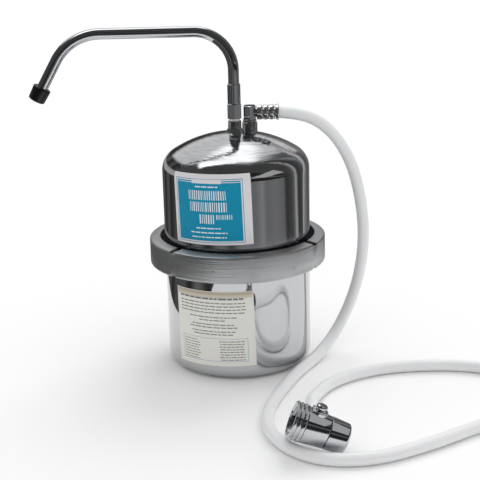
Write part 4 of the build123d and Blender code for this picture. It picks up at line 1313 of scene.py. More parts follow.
@dataclass
class TapDiverter:
    """Diverter for the tap, lying in front on its nozzle, its swivelling collar open."""

    mouth: Point = (39.8, -217.0, 30.3572)
    along: Point = (0.9233167, -0.0322429, -0.3826834)
    towards_knob: Point = (0.3824503, -0.0133555, 0.9238795)
    bore: float = 7.6
    collar_radius: float = 15.9
    collar_length: float = 9.9
    mouth_radius: float = 13.7
    grooves: Sequence[float] = (2.6, 6.2)
    groove_depth: float = 1.5
    groove_half: float = 0.75
    thread_radius: float = 12.0
    thread_depth: float = 0.5
    thread_turns: int = 3
    thread_top: float = 4.2
    thread_bottom: float = 1.2
    washer_seat: float = 4.4
    pocket_radius: float = 11.5
    pocket_floor: float = 8.1
    neck_opening: float = 10.28
    lip_radius: float = 11.2
    lip_low: float = 6.45
    lip_high: float = 7.85
    neck_radius: float = 10.2
    cone_low: float = 10.15
    cone_radius: float = 15.4
    waist_radius: float = 13.8
    body_length: float = 29.8
    chamber_radius: float = 10.8
    chamber_low: float = 12.0
    chamber_high: float = 24.8
    socket_radius: float = 9.68
    nozzle_neck: float = 9.6
    nozzle_low: float = 30.3
    nozzle_floor: float = 32.3
    nozzle_bore: float = 8.6
    end: float = 47.4
    end_radius: float = 12.9
    end_round: float = 2.6
    station: float = 18.6
    boss_low: float = 9.0
    boss_high: float = 15.8
    boss_radius: float = 6.9
    boss_bore: float = 4.4
    port_radius: float = 6.6
    port_reach: float = 15.6
    nipple_base: float = 12.0
    bonnet_low: float = 9.8
    bonnet_thread: float = 4.32
    bonnet_radius: float = 6.2
    bonnet_top: float = 16.4
    bonnet_nose: float = 3.9
    nose_height: float = 0.6
    stem_radius: float = 2.2
    stem_low: float = 2.0
    stem_clearance: float = 0.06
    knob_radius: float = 4.9
    knob_low: float = 17.3
    knob_height: float = 3.6
    pieces: list[bpy.types.Object] = field(default_factory=list)

    def frame(self) -> Matrix:
        """Own frame: Z from the open mouth into the body, X towards the knob.

        Returns:
            The frame's place in the scene, in millimetres.
        """
        z, x = Vector(self.along), Vector(self.towards_knob)
        turn = Matrix((x, z.cross(x), z)).transposed().to_4x4()
        return Matrix.Translation(self.mouth) @ turn

    def outwards(self, axis: str) -> Matrix:
        """Place at the valve's station, Z outwards.

        Args:
            axis: own axis that it is turned about: Y for the knob's way, X for the port's.

        Returns:
            The place in the scene.
        """
        station = self.frame() @ Matrix.Translation((0, 0, self.station))
        return station @ Matrix.Rotation(math.radians(90), 4, axis)

    def collar(self) -> None:
        """Swivelling collar: three smooth ridges between two grooves, and the tap's thread."""
        radius, length = self.collar_radius, self.collar_length
        root = radius - self.groove_depth
        collar = Outline(self.mouth_radius, 0).to(radius, 0, 0.5, 4)
        for middle in self.grooves:
            low, high = middle - self.groove_half, middle + self.groove_half
            collar.to(radius, low, 0.35, 3).to(root, low, 0.2, 2).to(root, high, 0.2, 2)
            collar.to(radius, high, 0.35, 3)
        collar.to(radius, length, 0.5, 4).to(self.neck_opening, length, 0.2)
        collar.to(self.neck_opening, self.pocket_floor).to(self.pocket_radius, self.pocket_floor)
        collar.to(self.pocket_radius, self.washer_seat)
        for turn in range(self.thread_turns):
            crest, depth = self.thread_top - turn, self.thread_depth
            collar.to(self.thread_radius, crest).to(self.thread_radius + depth, crest - depth)
        shape = collar.to(self.thread_radius, self.thread_bottom).close().spun(128)
        self.add("tap_collar_ring", shape, Body.COLLAR, self.frame(), "diverter_collar")

    def body(self, end: HoseEnd) -> None:
        """Cone with its flanged neck, the valve's boss and the hose port's boss and nipple.

        Args:
            end: the hose end on the port.
        """
        chamber, low, high = self.chamber_radius, self.boss_low, self.boss_high
        cone = Outline(self.bore, self.lip_low).to(self.lip_radius, self.lip_low, 0.2)
        cone.to(self.lip_radius, self.lip_high).to(self.neck_radius, self.lip_high)
        cone.to(self.neck_radius, self.cone_low).to(self.cone_radius, self.cone_low, 0.5, 4)
        cone.to(self.waist_radius, self.body_length, 0.35).to(self.socket_radius, self.body_length)
        cone.to(self.socket_radius, self.chamber_high).to(chamber, self.chamber_high)
        cone.to(chamber, self.chamber_low).to(self.bore, self.chamber_low).close()
        boss = Outline(self.boss_bore, low).to(self.boss_radius, low)
        boss = boss.to(self.boss_radius, high, 0.6, 4).to(self.boss_bore, high).close().spun(64)
        port = Outline(end.bore, low).to(self.port_radius, low)
        port.to(self.port_radius, self.port_reach, 0.8, 4).to(end.bore, self.port_reach)
        port = port.close().spun(64)
        frame = self.frame()
        back = frame.inverted()
        to_knob, to_port = back @ self.outwards("Y"), back @ self.outwards("X")
        nipple = end.nipple(self.port_reach, self.nipple_base)
        shape = joined(
            cone.spun(128), moved(boss, to_knob), moved(port, to_port), moved(nipple, to_port)
        )
        self.add("diverter_cone", shape, Body.HOUSING, frame, "diverter_body")

    def nozzle(self) -> None:
        """Outlet end, screwed in behind a fine groove and rounded at its rim."""
        nozzle = Outline(self.bore, self.chamber_high).to(self.nozzle_neck, self.chamber_high)
        nozzle.to(self.nozzle_neck, self.nozzle_low).to(self.waist_radius, self.nozzle_low, 0.35)
        nozzle.to(self.end_radius, self.end, self.end_round, 8).to(self.nozzle_bore, self.end, 0.3)
        nozzle.to(self.nozzle_bore, self.nozzle_floor).to(self.bore, self.nozzle_floor)
        shape = nozzle.close().spun(128)
        self.add("outlet_nozzle", shape, Body.HOUSING, self.frame(), "diverter_nozzle")

    def valve(self) -> None:
        """Bonnet, stem and mushroom knob."""
        low, seat, top = self.bonnet_low, self.boss_high, self.bonnet_top
        place, nose = self.outwards("Y"), top + self.nose_height
        hole = self.stem_radius + self.stem_clearance
        bonnet = Outline(hole, low).to(self.bonnet_thread, low).to(self.bonnet_thread, seat)
        bonnet.to(self.bonnet_radius, seat).to(self.bonnet_radius, top, 0.2)
        bonnet.to(self.bonnet_nose, top, 0.15).to(self.bonnet_nose, nose, 0.25).to(hole, nose)
        self.add("stem_bonnet", bonnet.close().spun(64), Body.HOUSING, place, "valve_bonnet")
        stem = Outline(0, self.stem_low).to(self.stem_radius, self.stem_low, 0.2)
        stem = stem.to(self.stem_radius, self.knob_low).to(0, self.knob_low).spun(40)
        self.add("pull_stem", stem, Body.KNOB, place, "valve_stem", TURNED_STEEL)
        high = self.knob_low + self.knob_height
        knob = Outline(0, self.knob_low).to(self.knob_radius, self.knob_low, 1.2, 5)
        knob = knob.to(self.knob_radius, high, 1.8, 7).to(0, high).spun(64)
        self.add("pull_knob", knob, Body.KNOB, place, "diverter_knob")

    def add(
        self, name: str, shape: bmesh.types.BMesh, body: Body, place: Matrix, node: str,
        finish: Finish = BRIGHT_CHROME,
    ) -> None:
        """Add one piece of the diverter and remember it for the hose.

        Args:
            name: name of the piece.
            shape: its shape.
            body: body that it rides on.
            place: frame that it was drawn in.
            node: CAD node that it replaces.
            finish: its finish.
        """
        self.pieces.append(add_piece(name, shape, body, finish, place, [node]))

    def build(self, end: HoseEnd) -> None:
        """Make the diverter's pieces.

        Args:
            end: the hose end on its port.
        """
        self.collar()
        self.body(end)
        self.nozzle()
        self.valve()
        start = self.port_reach + end.neck_length / 2
        self.add(
            "port_ferrule", end.ferrule(), Body.HOUSING,
            self.outwards("X") @ Matrix.Translation((0, 0, start)), "diverter_ferrule",
        )


# Coated label paper: smooth, faintly bluish white, with a soft sheen
LABEL_PAPER = Finish(
    "coated_label_paper", "teal_label", "e5e3e6", "d6d4d8", roughness=0.45, ior=1.5, coat=0.1,
    grains=(Grain(18, shade=0.3, gloss=0.08), Grain(0.5, height_mm=0.004)),
)
# Offset inks on the coated paper: flat colour, a little duller than the paper, with faint mottle
TEAL_PRINT = Finish(
    "teal_offset_print", "teal_label", "0090b4", "0084a8", roughness=0.6, ior=1.3,
    grains=(Grain(9, shade=0.4, gloss=0.06),),
)
OUTLINE_PRINT = Finish(
    "blue_outline_print", "teal_label", "3f93b8", "3488ad", roughness=0.4, ior=1.5,
    grains=(Grain(9, shade=0.4),),
)
WHITE_PRINT = Finish(
    "white_knocked_out_print", "teal_label", "e9eef0", "d5e2e6", roughness=0.42, ior=1.5,
    grains=(Grain(5, shade=0.4),),
)
# Uncoated cream label paper: matt, with a fine tooth
CREAM_PAPER = Finish(
    "cream_label_paper", "cream_label", "f1f0ea", "e6e4db", roughness=0.5, ior=1.5,
    grains=(Grain(16, shade=0.3, gloss=0.08), Grain(0.5, height_mm=0.005)),
)
# Offset inks on the cream paper: soaked in, so as matt as the paper, and broken up by its tooth
BEIGE_PRINT = Finish(
    "beige_band_print", "cream_label", "c5b9a3", "b9ac95", roughness=0.5, ior=1.5,
    grains=(Grain(9, shade=0.4),),
)
PALE_BEIGE_PRINT = Finish(
    "pale_beige_band_print", "cream_label", "d8cfbf", "cec4b2", roughness=0.5, ior=1.5,
    grains=(Grain(9, shade=0.4),),
)
GREY_PRINT = Finish(
    "grey_text_print", "cream_label", "6d6c69", "807f7b", roughness=0.5, ior=1.5,
    grains=(Grain(1.2, shade=0.6),),
)
BLUE_RULE_PRINT = Finish(
    "blue_rule_print", "cream_label", "8fb3c9", "7ea6bf", roughness=0.5, ior=1.5,
    grains=(Grain(3, shade=0.5),),
)
FIELD_LAYER = 1
WORD_LAYER = 2
TAB_LAYER = 3


class UpperInk(IntEnum):
    """Numbers of the upper label's finishes."""

    PAPER = 0
    TEAL = 1
    OUTLINE = 2
    WHITE = 3


class LowerInk(IntEnum):
    """Numbers of the lower label's finishes."""

    PAPER = 0
    BEIGE = 1
    GREY = 2
    BLUE_RULE = 3
    PALE_BEIGE = 4


@dataclass
class Label:
    """Paper label wrapped on the shell, printed with plain fields and bars only.

    Attributes:
        name: name of the piece.
        node: CAD node that it replaces.
        azimuth: middle of the label, in degrees from the front.
        half_angle: half of its width, in degrees.
        low: height of its lower edge at the middle.
        high: height of its upper edge at the middle.
        finishes: paper first, then the inks.
        shell: the housing that it is wrapped on.
        tilt: degrees that it is stuck on askew.
        lift: gap between shell and paper.
        thickness: of the paper.
        layer: step from one layer of ink to the next.
        cell: width and height of the patches' cells.
    """

    name: str
    node: str
    azimuth: float
    half_angle: float
    low: float
    high: float
    finishes: Sequence[Finish]
    shell: Housing
    tilt: float = 1.6
    lift: float = 0.04
    thickness: float = 0.15
    layer: float = 0.02
    cell: Sequence[float] = (1.5, 2.5)

    def onto_shell(self, corner: bmesh.types.BMVert, lift: float) -> None:
        """Wrap one corner of the flat label round the shell.

        Args:
            corner: its X is the distance along the wall, its Y the height.
            lift: distance that it stands off the shell.
        """
        turn, shell = math.radians(self.tilt), self.shell
        middle = (self.low + self.high) / 2
        up = corner.co.y - middle
        along = corner.co.x * math.cos(turn) - up * math.sin(turn)
        height = middle + up * math.cos(turn) + corner.co.x * math.sin(turn)
        azimuth = math.radians(self.azimuth) + along / shell.radius
        reach = shell.radius + lift
        over = height - shell.shoulder_centre
        if over > 0:
            bend = over / shell.shoulder_radius
            spread = shell.shoulder_radius + lift
            reach = shell.radius - shell.shoulder_radius + spread * math.cos(bend)
            height = shell.shoulder_centre + spread * math.sin(bend)
        corner.co = (reach * math.sin(azimuth), -reach * math.cos(azimuth), height)

    def patch(
        self, left: float, right: float, low: float, high: float, ink: int, layer: int
    ) -> bmesh.types.BMesh:
        """Thin field of paper or ink.

        Args:
            left: left edge, as a distance along the wall from the label's middle.
            right: right edge.
            low: lower edge, as a height.
            high: upper edge.
            ink: number of its finish.
            layer: how many layers it lies above the paper.

        Returns:
            Its shape on the shell.
        """
        flat = bmesh.new()
        columns = max(1, round((right - left) / self.cell[0]))
        rows = max(1, round((high - low) / self.cell[1]))
        bmesh.ops.create_grid(flat, x_segments=columns, y_segments=rows, size=0.5)
        bmesh.ops.scale(flat, verts=flat.verts, vec=(right - left, high - low, 1))
        bmesh.ops.translate(flat, verts=flat.verts, vec=((left + right) / 2, (low + high) / 2, 0))
        lift = self.lift + self.thickness + layer * self.layer
        for corner in flat.verts:
            self.onto_shell(corner, lift)
        for face in flat.faces:
            face.material_index = ink
        bmesh.ops.recalc_face_normals(flat, faces=flat.faces)
        if sum(face.normal.dot(face.calc_center_median()) for face in flat.faces) < 0:
            bmesh.ops.reverse_faces(flat, faces=flat.faces)
        if layer == 0:
            bmesh.ops.solidify(flat, geom=flat.faces[:], thickness=self.thickness)
        return flat

    def build(self, fields: Iterable[PrintedField]) -> None:
        """Make the label.

        Args:
            fields: left, right, low, high, ink and layer of each printed field.
        """
        half = self.shell.radius * math.sin(math.radians(self.half_angle))
        wide = self.shell.radius * math.asin(half / self.shell.radius)
        parts = [self.patch(-wide, wide, self.low, self.high, 0, 0)]
        parts += [self.patch(*field) for field in fields]
        add_piece(self.name, joined(*parts), Body.HOUSING, self.finishes, stands_for=[self.node])


def bare_material(name: str) -> bpy.types.Material:
    """Make a node material whose tree is still empty.

    Args:
        name: name of the material.

    Returns:
        The material.
    """
    made = bpy.data.materials.new(name)
    made.use_nodes = True
    made.node_tree.nodes.clear()
    return made


def dress_cad_nodes() -> None:
    """Give every CAD node its finish through its object's material slots."""
    for finish, names in CAD_FINISHES.items():
        for name in names:
            node = frame["nodes"][name]
            for place in node.material_slots:
                place.material = finish.material()
            LOG.info("dressed %s in %s", name, finish.name)


@dataclass
class Studio:
    """White table, soft light from behind on the right, and dark flags for the metal to mirror.

    Attributes:
        distance: from the housing's axis to the camera, in metres.
        height: of the camera, in metres.
        pitch: of the camera below the horizon, in radians.
        roll: of the camera, in radians.
        yaw: of the camera, in radians.
        lens: focal length for a sensor 36 mm wide.
        key: direction that the key light comes from.
        key_spread: how wide the key light looks, in degrees.
        key_strength: its strength on a surface that faces it.
        dim: strength of the fill from the darkest side.
        bright: strength of the fill from the key's side.
        glow: what the table adds for the camera alone, to come out white.
        table_reach: radius of the table that the metal mirrors, in metres.
        table_left: its cut edge on the left.
        table_back: its cut edge at the back.
        cloth_lift: height of the mirrored cloth over the table.
        panel_low: one corner of the pale panel over the tap valve.
        panel_high: the opposite corner.
        tent_radius: radius of the tent of cloth.
        tent_foot: height below which a field overhead spreads no further out.
        strips: greys of the cloth's upright strips, by their place round the object.
        overhead: grey, strength and edges of each field overhead, in tangents from the zenith.
    """

    distance: float = 1.0
    height: float = 0.4043
    pitch: float = 0.2785
    roll: float = 0.0238
    yaw: float = 0.0024
    lens: float = 80.3
    key: Point = (0.32, 0.58, 0.75)
    key_spread: float = 42.0
    key_strength: float = 0.95
    dim: float = 0.36
    bright: float = 0.96
    glow: float = 0.05
    table_reach: float = 0.5
    table_left: float = -0.2
    table_back: float = 0.27
    cloth_lift: float = 0.0004
    panel_low: Point = (0.17, -0.51, 0.3)
    panel_high: Point = (0.44, -0.12, 0.3)
    tent_radius: float = 2.5
    tent_foot: float = 0.02
    strips: Sequence[tuple[float, str]] = (
        (0.0, "5c5c5c"), (0.04, "303030"), (0.08, "6c6c6c"), (0.13, "2e2e2e"), (0.18, "747474"),
        (0.22, "3c3c3c"), (0.28, "808080"), (0.33, "7c7c7c"), (0.358, "929292"), (0.375, "7a7a7a"),
        (0.41, "808080"), (0.455, "787878"), (0.475, "404040"), (0.50, "4e4e4e"), (0.52, "6c6c6c"),
        (0.535, "b4b4b4"), (0.55, "404040"), (0.585, "525252"), (0.61, "8c8c8c"), (0.65, "5c5c5c"),
        (0.70, "808080"), (0.75, "4a4a4a"), (0.80, "363636"), (0.84, "5e5e5e"), (0.86, "303030"),
        (0.90, "5c5c5c"), (0.92, "303030"), (0.96, "545454"),
    )
    overhead: Sequence[OverheadField] = (
        ("4c4c4c", 1.0, (((0.0, -1.0), -0.3, 0.2),)),
        ("2a2a2a", 1.0, (((0.0, -1.0), 0.95, 1.2),)),
        ("707070", 0.8, (((0.0, -1.0), 1.9, 2.2), ((0.0, 1.0), -3.2, -2.8))),
        ("b4b4b4", 1.0, (((-1.0, 0.0), 3.0, 4.5), ((-0.3, 1.0), 0.0, 0.8))),
        (
            "e6e6e6", 1.0,
            (
                ((-1.0, 0.35), -0.3, -0.1), ((1.0, 0.0), -1.35, -0.9), ((0.25, 1.0), -0.1, 0.15),
                ((0.0, -1.0), -3.2, -1.8),
            ),
        ),
        (
            "ffffff", 4.5,
            (
                ((-1.0, 0.1), -0.28, -0.1), ((0.8, -0.6), -0.65, -0.42), ((-0.3, 1.0), 0.0, 0.22),
                ((-0.3, -1.0), -1.05, -0.75),
            ),
        ),
    )

    def camera(self) -> None:
        """Make the scene's camera at the photograph's viewing angle."""
        data = bpy.data.cameras.new("front_camera")
        data.lens = self.lens
        forward = Vector(
            (
                math.sin(self.yaw) * math.cos(self.pitch),
                math.cos(self.yaw) * math.cos(self.pitch),
                -math.sin(self.pitch),
            )
        )
        level = Vector((math.cos(self.yaw), -math.sin(self.yaw), 0.0))
        down = forward.cross(level)
        across = math.cos(self.roll) * level + math.sin(self.roll) * down
        down = math.cos(self.roll) * down - math.sin(self.roll) * level
        turn = Matrix((across, -down, -forward)).transposed().to_4x4()
        camera = bpy.data.objects.new("front_camera", data)
        camera.matrix_world = Matrix.Translation((0, -self.distance, self.height)) @ turn
        bpy.context.scene.collection.objects.link(camera)
        bpy.context.scene.camera = camera

    def world(self) -> None:
        """White for camera, mirror and glass rays, soft fill for the rest."""
        world = bpy.data.worlds.new("studio")
        world.use_nodes = True
        bpy.context.scene.world = world
        tree = world.node_tree
        tree.nodes.clear()
        rays = add_node(tree, "ShaderNodeLightPath").outputs
        seen = add_node(
            tree, "ShaderNodeMath",
            {0: rays["Is Camera Ray"], 1: rays["Is Glossy Ray"]}, operation="MAXIMUM",
        )
        seen = add_node(
            tree, "ShaderNodeMath",
            {0: seen.outputs[0], 1: rays["Is Transmission Ray"]}, operation="MAXIMUM",
        )
        towards = add_node(tree, "ShaderNodeTexCoord").outputs["Generated"]
        facing = add_node(
            tree, "ShaderNodeVectorMath", {0: towards, 1: self.key}, operation="DOT_PRODUCT"
        )
        fill = add_node(
            tree, "ShaderNodeMapRange",
            {
                "Value": facing.outputs["Value"], "From Min": -1.0,
                "To Min": self.dim, "To Max": self.bright,
            },
        )
        strength = add_node(
            tree, "ShaderNodeMix", {0: seen.outputs[0], 2: fill.outputs[0], 3: 1.0}
        )
        sky = add_node(
            tree, "ShaderNodeBackground",
            {"Color": linear("ffffff"), "Strength": strength.outputs[0]},
        )
        add_node(tree, "ShaderNodeOutputWorld", {"Surface": sky.outputs[0]})

    def table_top(self) -> None:
        """White table top that keeps the object's shadow."""
        made = bare_material("white_table")
        tree = made.node_tree
        rays = add_node(tree, "ShaderNodeLightPath").outputs
        paint = add_node(tree, "ShaderNodeBsdfDiffuse", {"Color": linear("f7f7f7")})
        glow = add_node(
            tree, "ShaderNodeEmission", {"Color": linear("ffffff"), "Strength": self.glow}
        )
        both = add_node(tree, "ShaderNodeAddShader", {0: paint.outputs[0], 1: glow.outputs[0]})
        seen = add_node(
            tree, "ShaderNodeMixShader",
            {0: rays["Is Camera Ray"], 1: paint.outputs[0], 2: both.outputs[0]},
        )
        add_node(tree, "ShaderNodeOutputMaterial", {"Surface": seen.outputs[0]})
        shape = bmesh.new()
        bmesh.ops.create_grid(shape, x_segments=1, y_segments=1, size=12)
        self.staged("table_top", shape, made)

    def staged(
        self, name: str, shape: bmesh.types.BMesh, material: bpy.types.Material
    ) -> bpy.types.Object:
        """Add a piece of the studio, which isn't part of the object.

        Args:
            name: name of the piece.
            shape: its shape in metres, which is used up.
            material: its material.

        Returns:
            The new object.
        """
        mesh = bpy.data.meshes.new(name)
        shape.to_mesh(mesh)
        shape.free()
        mesh.materials.append(material)
        piece = bpy.data.objects.new(name, mesh)
        bpy.context.scene.collection.objects.link(piece)
        return piece

    def fade(
        self, tree: bpy.types.NodeTree, across: Sequence[float], start: float, end: float,
        sides: Sequence[bpy.types.NodeSocket],
    ) -> bpy.types.NodeSocket:
        """Share that fades in over a straight edge of a field overhead.

        Args:
            tree: the node tree it goes in.
            across: weights of the two sides, which give the way across the edge.
            start: where it is still zero.
            end: where it is one.
            sides: places to the right and to the back, seen from the housing.

        Returns:
            The share.
        """
        part = add_node(
            tree, "ShaderNodeMath", {0: sides[0], 1: across[0]}, operation="MULTIPLY"
        ).outputs[0]
        part = add_node(
            tree, "ShaderNodeMath", {0: sides[1], 1: across[1], 2: part}, operation="MULTIPLY_ADD"
        ).outputs[0]
        return add_node(
            tree, "ShaderNodeMapRange", {"Value": part, "From Min": start, "From Max": end},
            interpolation_type="SMOOTHSTEP",
        ).outputs[0]

    def flag_cloth(self, name: str, overhead: Sequence[OverheadField]) -> bpy.types.Material:
        """Cloth round the object: upright strips, and a lit scrim with a lamp overhead.

        Args:
            name: name of the material.
            overhead: the fields that hang over it.

        Returns:
            Its material.
        """
        made = bare_material(name)
        tree = made.node_tree
        place = add_node(tree, "ShaderNodeTexCoord").outputs["Object"]
        around = add_node(tree, "ShaderNodeTexGradient", {"Vector": place}, gradient_type="RADIAL")
        strips = add_node(
            tree, "ShaderNodeValToRGB", {"Fac": around.outputs["Fac"]},
            stops=[(at, linear(grey)) for at, grey in self.strips],
        )
        strips.color_ramp.interpolation = "EASE"
        axes = add_node(tree, "ShaderNodeSeparateXYZ", {0: place}).outputs
        high = add_node(
            tree, "ShaderNodeMath", {0: axes["Z"], 1: self.tent_foot}, operation="MAXIMUM"
        ).outputs[0]
        sides = [
            add_node(
                tree, "ShaderNodeMath", {0: axes[axis], 1: high}, operation="DIVIDE"
            ).outputs[0]
            for axis in ("X", "Y")
        ]
        shown = strips.outputs["Color"]
        for grey, strength, edges in overhead:
            share: bpy.types.NodeSocket | float = strength
            for across, start, end in edges:
                edge = self.fade(tree, across, start, end, sides)
                share = add_node(
                    tree, "ShaderNodeMath", {0: edge, 1: share}, operation="MULTIPLY"
                ).outputs[0]
            shown = add_node(
                tree, "ShaderNodeMix", {0: share, 6: shown, 7: linear(grey)}, data_type="RGBA",
                clamp_factor=False,
            ).outputs[2]
        glow = add_node(tree, "ShaderNodeEmission", {"Color": shown})
        add_node(tree, "ShaderNodeOutputMaterial", {"Surface": glow.outputs[0]})
        return made

    def flags(self) -> None:
        """Hang the cloth round and above the table, which only the metal mirrors."""
        reach = self.tent_radius
        strips = bmesh.new()
        bmesh.ops.create_circle(
            strips, cap_ends=False, radius=self.table_reach, segments=72,
            matrix=Matrix.Translation((0, 0, self.cloth_lift)),
        )
        for corner in strips.verts:
            corner.co.x = max(corner.co.x, self.table_left)
            corner.co.y = min(corner.co.y, self.table_back)
        made = bmesh.ops.extrude_edge_only(strips, edges=strips.edges[:])["geom"]
        for corner in made:
            if isinstance(corner, bmesh.types.BMVert):
                corner.co.xy = corner.co.xy.normalized() * reach
        tent = bmesh.new()
        bmesh.ops.create_uvsphere(tent, u_segments=96, v_segments=48, radius=reach)
        below = [face for face in tent.faces if face.calc_center_median().z < 0]
        bmesh.ops.delete(tent, geom=below, context="FACES")
        cloths = (("floor_flags", strips, ()), ("tent_flags", tent, self.overhead))
        for name, shape, fields in cloths:
            self.mirrored_only(self.staged(name, shape, self.flag_cloth(name + "_cloth", fields)))
        self.mirrored_only(self.panel())

    def panel(self) -> bpy.types.Object:
        """Pale panel that hangs over the tap valve.

        Returns:
            The panel's object.
        """
        made = bare_material("pale_panel_cloth")
        tree = made.node_tree
        glow = add_node(tree, "ShaderNodeEmission", {"Color": linear("bcbcbc")})
        add_node(tree, "ShaderNodeOutputMaterial", {"Surface": glow.outputs[0]})
        low, high = Vector(self.panel_low), Vector(self.panel_high)
        shape = bmesh.new()
        bmesh.ops.create_grid(shape, x_segments=1, y_segments=1, size=0.5)
        bmesh.ops.scale(shape, verts=shape.verts, vec=(high.x - low.x, high.y - low.y, 1))
        bmesh.ops.translate(shape, verts=shape.verts, vec=(low + high) / 2)
        return self.staged("pale_panel", shape, made)

    def mirrored_only(self, piece: bpy.types.Object) -> None:
        """Let nothing but the metal see a piece of the studio.

        Args:
            piece: the piece.
        """
        piece.visible_camera = False
        piece.visible_diffuse = False
        piece.visible_transmission = False
        piece.visible_volume_scatter = False
        piece.visible_shadow = False

    def key_light(self) -> None:
        """Hang the broad key light behind the object, on the right."""
        data = bpy.data.lights.new("key_light", "SUN")
        data.energy = self.key_strength
        data.angle = math.radians(self.key_spread)
        lamp = bpy.data.objects.new("key_light", data)
        lamp.rotation_mode = "QUATERNION"
        lamp.rotation_quaternion = Vector(self.key).to_track_quat("Z", "Y")
        lamp.visible_glossy = False
        bpy.context.scene.collection.objects.link(lamp)

    def build(self) -> None:
        """Set up camera, surroundings, table, flags and light."""
        bpy.context.scene.view_settings.view_transform = "Standard"
        self.camera()
        self.world()
        self.table_top()
        self.flags()
        self.key_light()


# Corners of the hose's run in metres, the same points as the part's own route
HOSE_ROUTE: tuple[Point, ...] = (
    (0.0239, 0.010, 0.2412), (0.056, 0.010, 0.2412), (0.086, 0.011, 0.229),
    (0.109, 0.014, 0.198), (0.121, 0.018, 0.158), (0.126, 0.022, 0.112),
    (0.121, 0.024, 0.068), (0.104, 0.014, 0.027), (0.079, -0.018, 0.0055),
    (0.054, -0.061, 0.0055), (0.036, -0.104, 0.0055), (0.021, -0.149, 0.0055),
    (0.024, -0.199, 0.0055), (0.053, -0.237, 0.0055), (0.100, -0.242, 0.0055),
    (0.150, -0.218, 0.0055), (0.198, -0.186, 0.0055), (0.240, -0.164, 0.0055),
    (0.268, -0.127, 0.0055), (0.260, -0.084, 0.0055), (0.224, -0.059, 0.0055),
    (0.176, -0.053, 0.0055), (0.126, -0.060, 0.0055), (0.084, -0.086, 0.0055),
    (0.064, -0.122, 0.0065), (0.058639, -0.169928, 0.023239), (0.057649, -0.198262, 0.023239),
)


@dataclass
class Hose:
    """White hose from the inlet elbow to the tap diverter.

    Attributes:
        diameter: outside, in millimetres.
        length: along its line, in metres; not used.
        route: control points of its line, in metres.
        on_it: CAD nodes and pieces that hang on its far end; not used.
    """

    diameter: float = 11.0
    length: float = 1.160
    route: Sequence[Point] = HOSE_ROUTE
    on_it: Sequence[bpy.types.Object] = field(default_factory=list)

    def build(self) -> None:
        data = bpy.data.curves.new("hose_line", "CURVE")
        data.dimensions = "3D"
        data.bevel_depth = self.diameter * MM / 2
        data.bevel_resolution = 7
        data.resolution_u = 12
        data.use_fill_caps = True
        line = data.splines.new("NURBS")
        line.points.add(len(self.route) - 1)
        for corner, place in zip(line.points, self.route):
            corner.co = (*place, 1.0)
        line.order_u = 3
        line.use_endpoint_u = True
        data.materials.append(WHITE_PVC.material())
        piece = bpy.data.objects.new("hose_line", data)
        bpy.context.scene.collection.objects.link(piece)
        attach(piece, Body.HOUSING.value)
        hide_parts("hose")
        LOG.info("laid the hose")


def words(
    left: float, right: float, low: float, high: float, ink: int, seed: int,
    lengths: tuple[float, float] = (2.0, 7.0), gap: float = 0.9,
) -> list[PrintedField]:
    """Break a bar into pieces as long as words, or as thin as strokes.

    Args:
        left: left end of the line.
        right: right end of the line.
        low: lower edge of the line.
        high: upper edge of the line.
        ink: number of the finish.
        seed: start of the draws for the lengths.
        lengths: shortest and longest piece.
        gap: between two pieces.

    Returns:
        Fields for the label.
    """
    draw = random.Random(seed)
    bars, at = [], left
    while at < right - lengths[0] / 2:
        end = min(right, at + draw.uniform(*lengths))
        bars.append((at, end, low, high, ink, WORD_LAYER))
        at = end + gap
    return bars


def ruled(
    left: float, right: float, low: float, high: float, line: float, ink: int
) -> list[PrintedField]:
    """Thin printed frame.

    Args:
        left: outer left edge.
        right: outer right edge.
        low: outer lower edge.
        high: outer upper edge.
        line: width of its line.
        ink: number of the finish.

    Returns:
        Fields for the label.
    """
    inner_low, inner_high = low + line, high - line
    return [
        (left, right, inner_high, high, ink, FIELD_LAYER),
        (left, right, low, inner_low, ink, FIELD_LAYER),
        (left, left + line, inner_low, inner_high, ink, FIELD_LAYER),
        (right - line, right, inner_low, inner_high, ink, FIELD_LAYER),
    ]


def upper_fields() -> list[PrintedField]:
    """Teal field with a blank tab, a thin frame, and bars in place of words.

    Returns:
        Fields for the label.
    """
    left, right, low, high = -34.2, 30.2, 136.7, 192.4
    tab_half, tab_low, tab_high = 14.5, high - 2.4, high + 3.4
    off, line = 1.7, 0.6
    middle = (left + right) / 2
    fields = [
        (left, right, low, high, UpperInk.TEAL, FIELD_LAYER),
        (middle - tab_half, middle + tab_half, tab_low, tab_high, UpperInk.PAPER, TAB_LAYER),
    ]
    fields += ruled(left - off, right + off, low - off, high + off, line, UpperInk.OUTLINE)
    fields += words(middle - 11, middle + 11, 186.4, 187.5, UpperInk.WHITE, 5)
    for start, end, level, size in (
        (-18.5, 18, 174.8, 8.6), (-17.5, 18.5, 164.0, 8.8), (-8, 7.5, 152.8, 8.6),
        (8.5, 23, 157.0, 4.4),
    ):
        fields += words(
            middle + start, middle + end, level, level + size, UpperInk.WHITE, round(level),
            lengths=(0.5, 1.3), gap=1.2,
        )
    for half, level in ((12, 148.0), (18, 143.8), (17, 139.6)):
        fields += words(
            middle - half, middle + half, level, level + 1.1, UpperInk.WHITE, round(level)
        )
    return fields


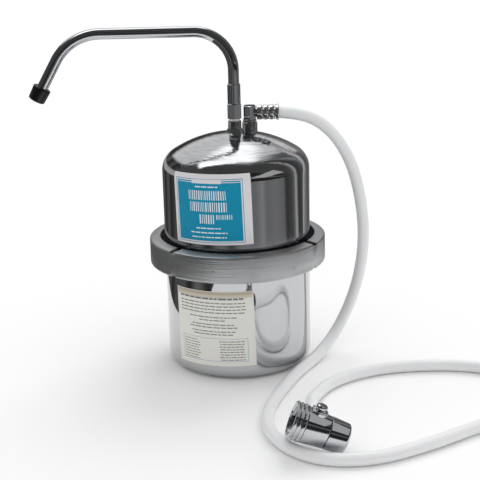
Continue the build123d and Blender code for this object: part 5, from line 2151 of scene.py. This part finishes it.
def lower_fields() -> list[PrintedField]:
    """Beige head, dark heading, rows of tiny bars and a ruled frame with two columns of rows.

    Returns:
        Fields for the label.
    """
    half, ink = 39.6, LowerInk.GREY
    fields = [
        (-half, half, 85.0, 87.8, LowerInk.BEIGE, FIELD_LAYER),
        (-half, half, 82.2, 85.0, LowerInk.PALE_BEIGE, FIELD_LAYER),
    ]
    fields += words(-35, 31, 80.4, 82.0, ink, 3, (3.0, 9.0))
    for row in range(4):
        fields += words(-35, 33, 76.4 - row * 3.1, 77.3 - row * 3.1, ink, row + 11)
    for level, reach in ((62.6, 24), (59.6, 13), (55.4, 21), (52.6, 24), (48.6, 22), (45.8, 20)):
        fields += words(-reach, reach, level, level + 0.9, ink, round(level))
    left, right, low, high = -34.6, 33.2, 19.4, 42.4
    fields += ruled(left, right, low, high, 0.4, LowerInk.BLUE_RULE)
    for row in range(8):
        level = high - 3.4 - row * 2.6
        for start, end, tall, seed, longest in (
            (left + 2, left + 19 + row % 3, 0.7, row + 51, 4.5),
            (right - 27 + row % 2, right - 3, 0.8, row + 71, 5.0),
        ):
            fields += words(start, end, level, level + tall, ink, seed, (1.5, longest), 0.7)
    return fields


def main() -> None:
    """Build the studio and every piece, in order."""
    logging.basicConfig(level=logging.INFO, format="%(name)s: %(message)s")
    Studio().build()
    end = HoseEnd()
    diverter = TapDiverter()
    diverter.build(HoseEnd(length=9.6, crimps=1))
    inside = ("collar_washer", "inlet_screen", "outlet_screen", "valve_seal")
    Hose(on_it=diverter.pieces + [frame["nodes"][name] for name in inside]).build()
    shell = Housing()
    shell.build()
    clamp = BandClamp()
    clamp.build()
    Closure(clamp).build()
    Spout().build()
    Inlet().build(end)
    Label(
        "front_label", "upper_label", -20.8, 32.1, 133.0, 198.6,
        (LABEL_PAPER, TEAL_PRINT, OUTLINE_PRINT, WHITE_PRINT), shell,
    ).build(upper_fields())
    Label(
        "data_label", "lower_label", -21.3, 33.0, 15.0, 88.3,
        (CREAM_PAPER, BEIGE_PRINT, GREY_PRINT, BLUE_RULE_PRINT, PALE_BEIGE_PRINT), shell,
    ).build(lower_fields())
    dress_cad_nodes()


if __name__ == "__main__":
    main()
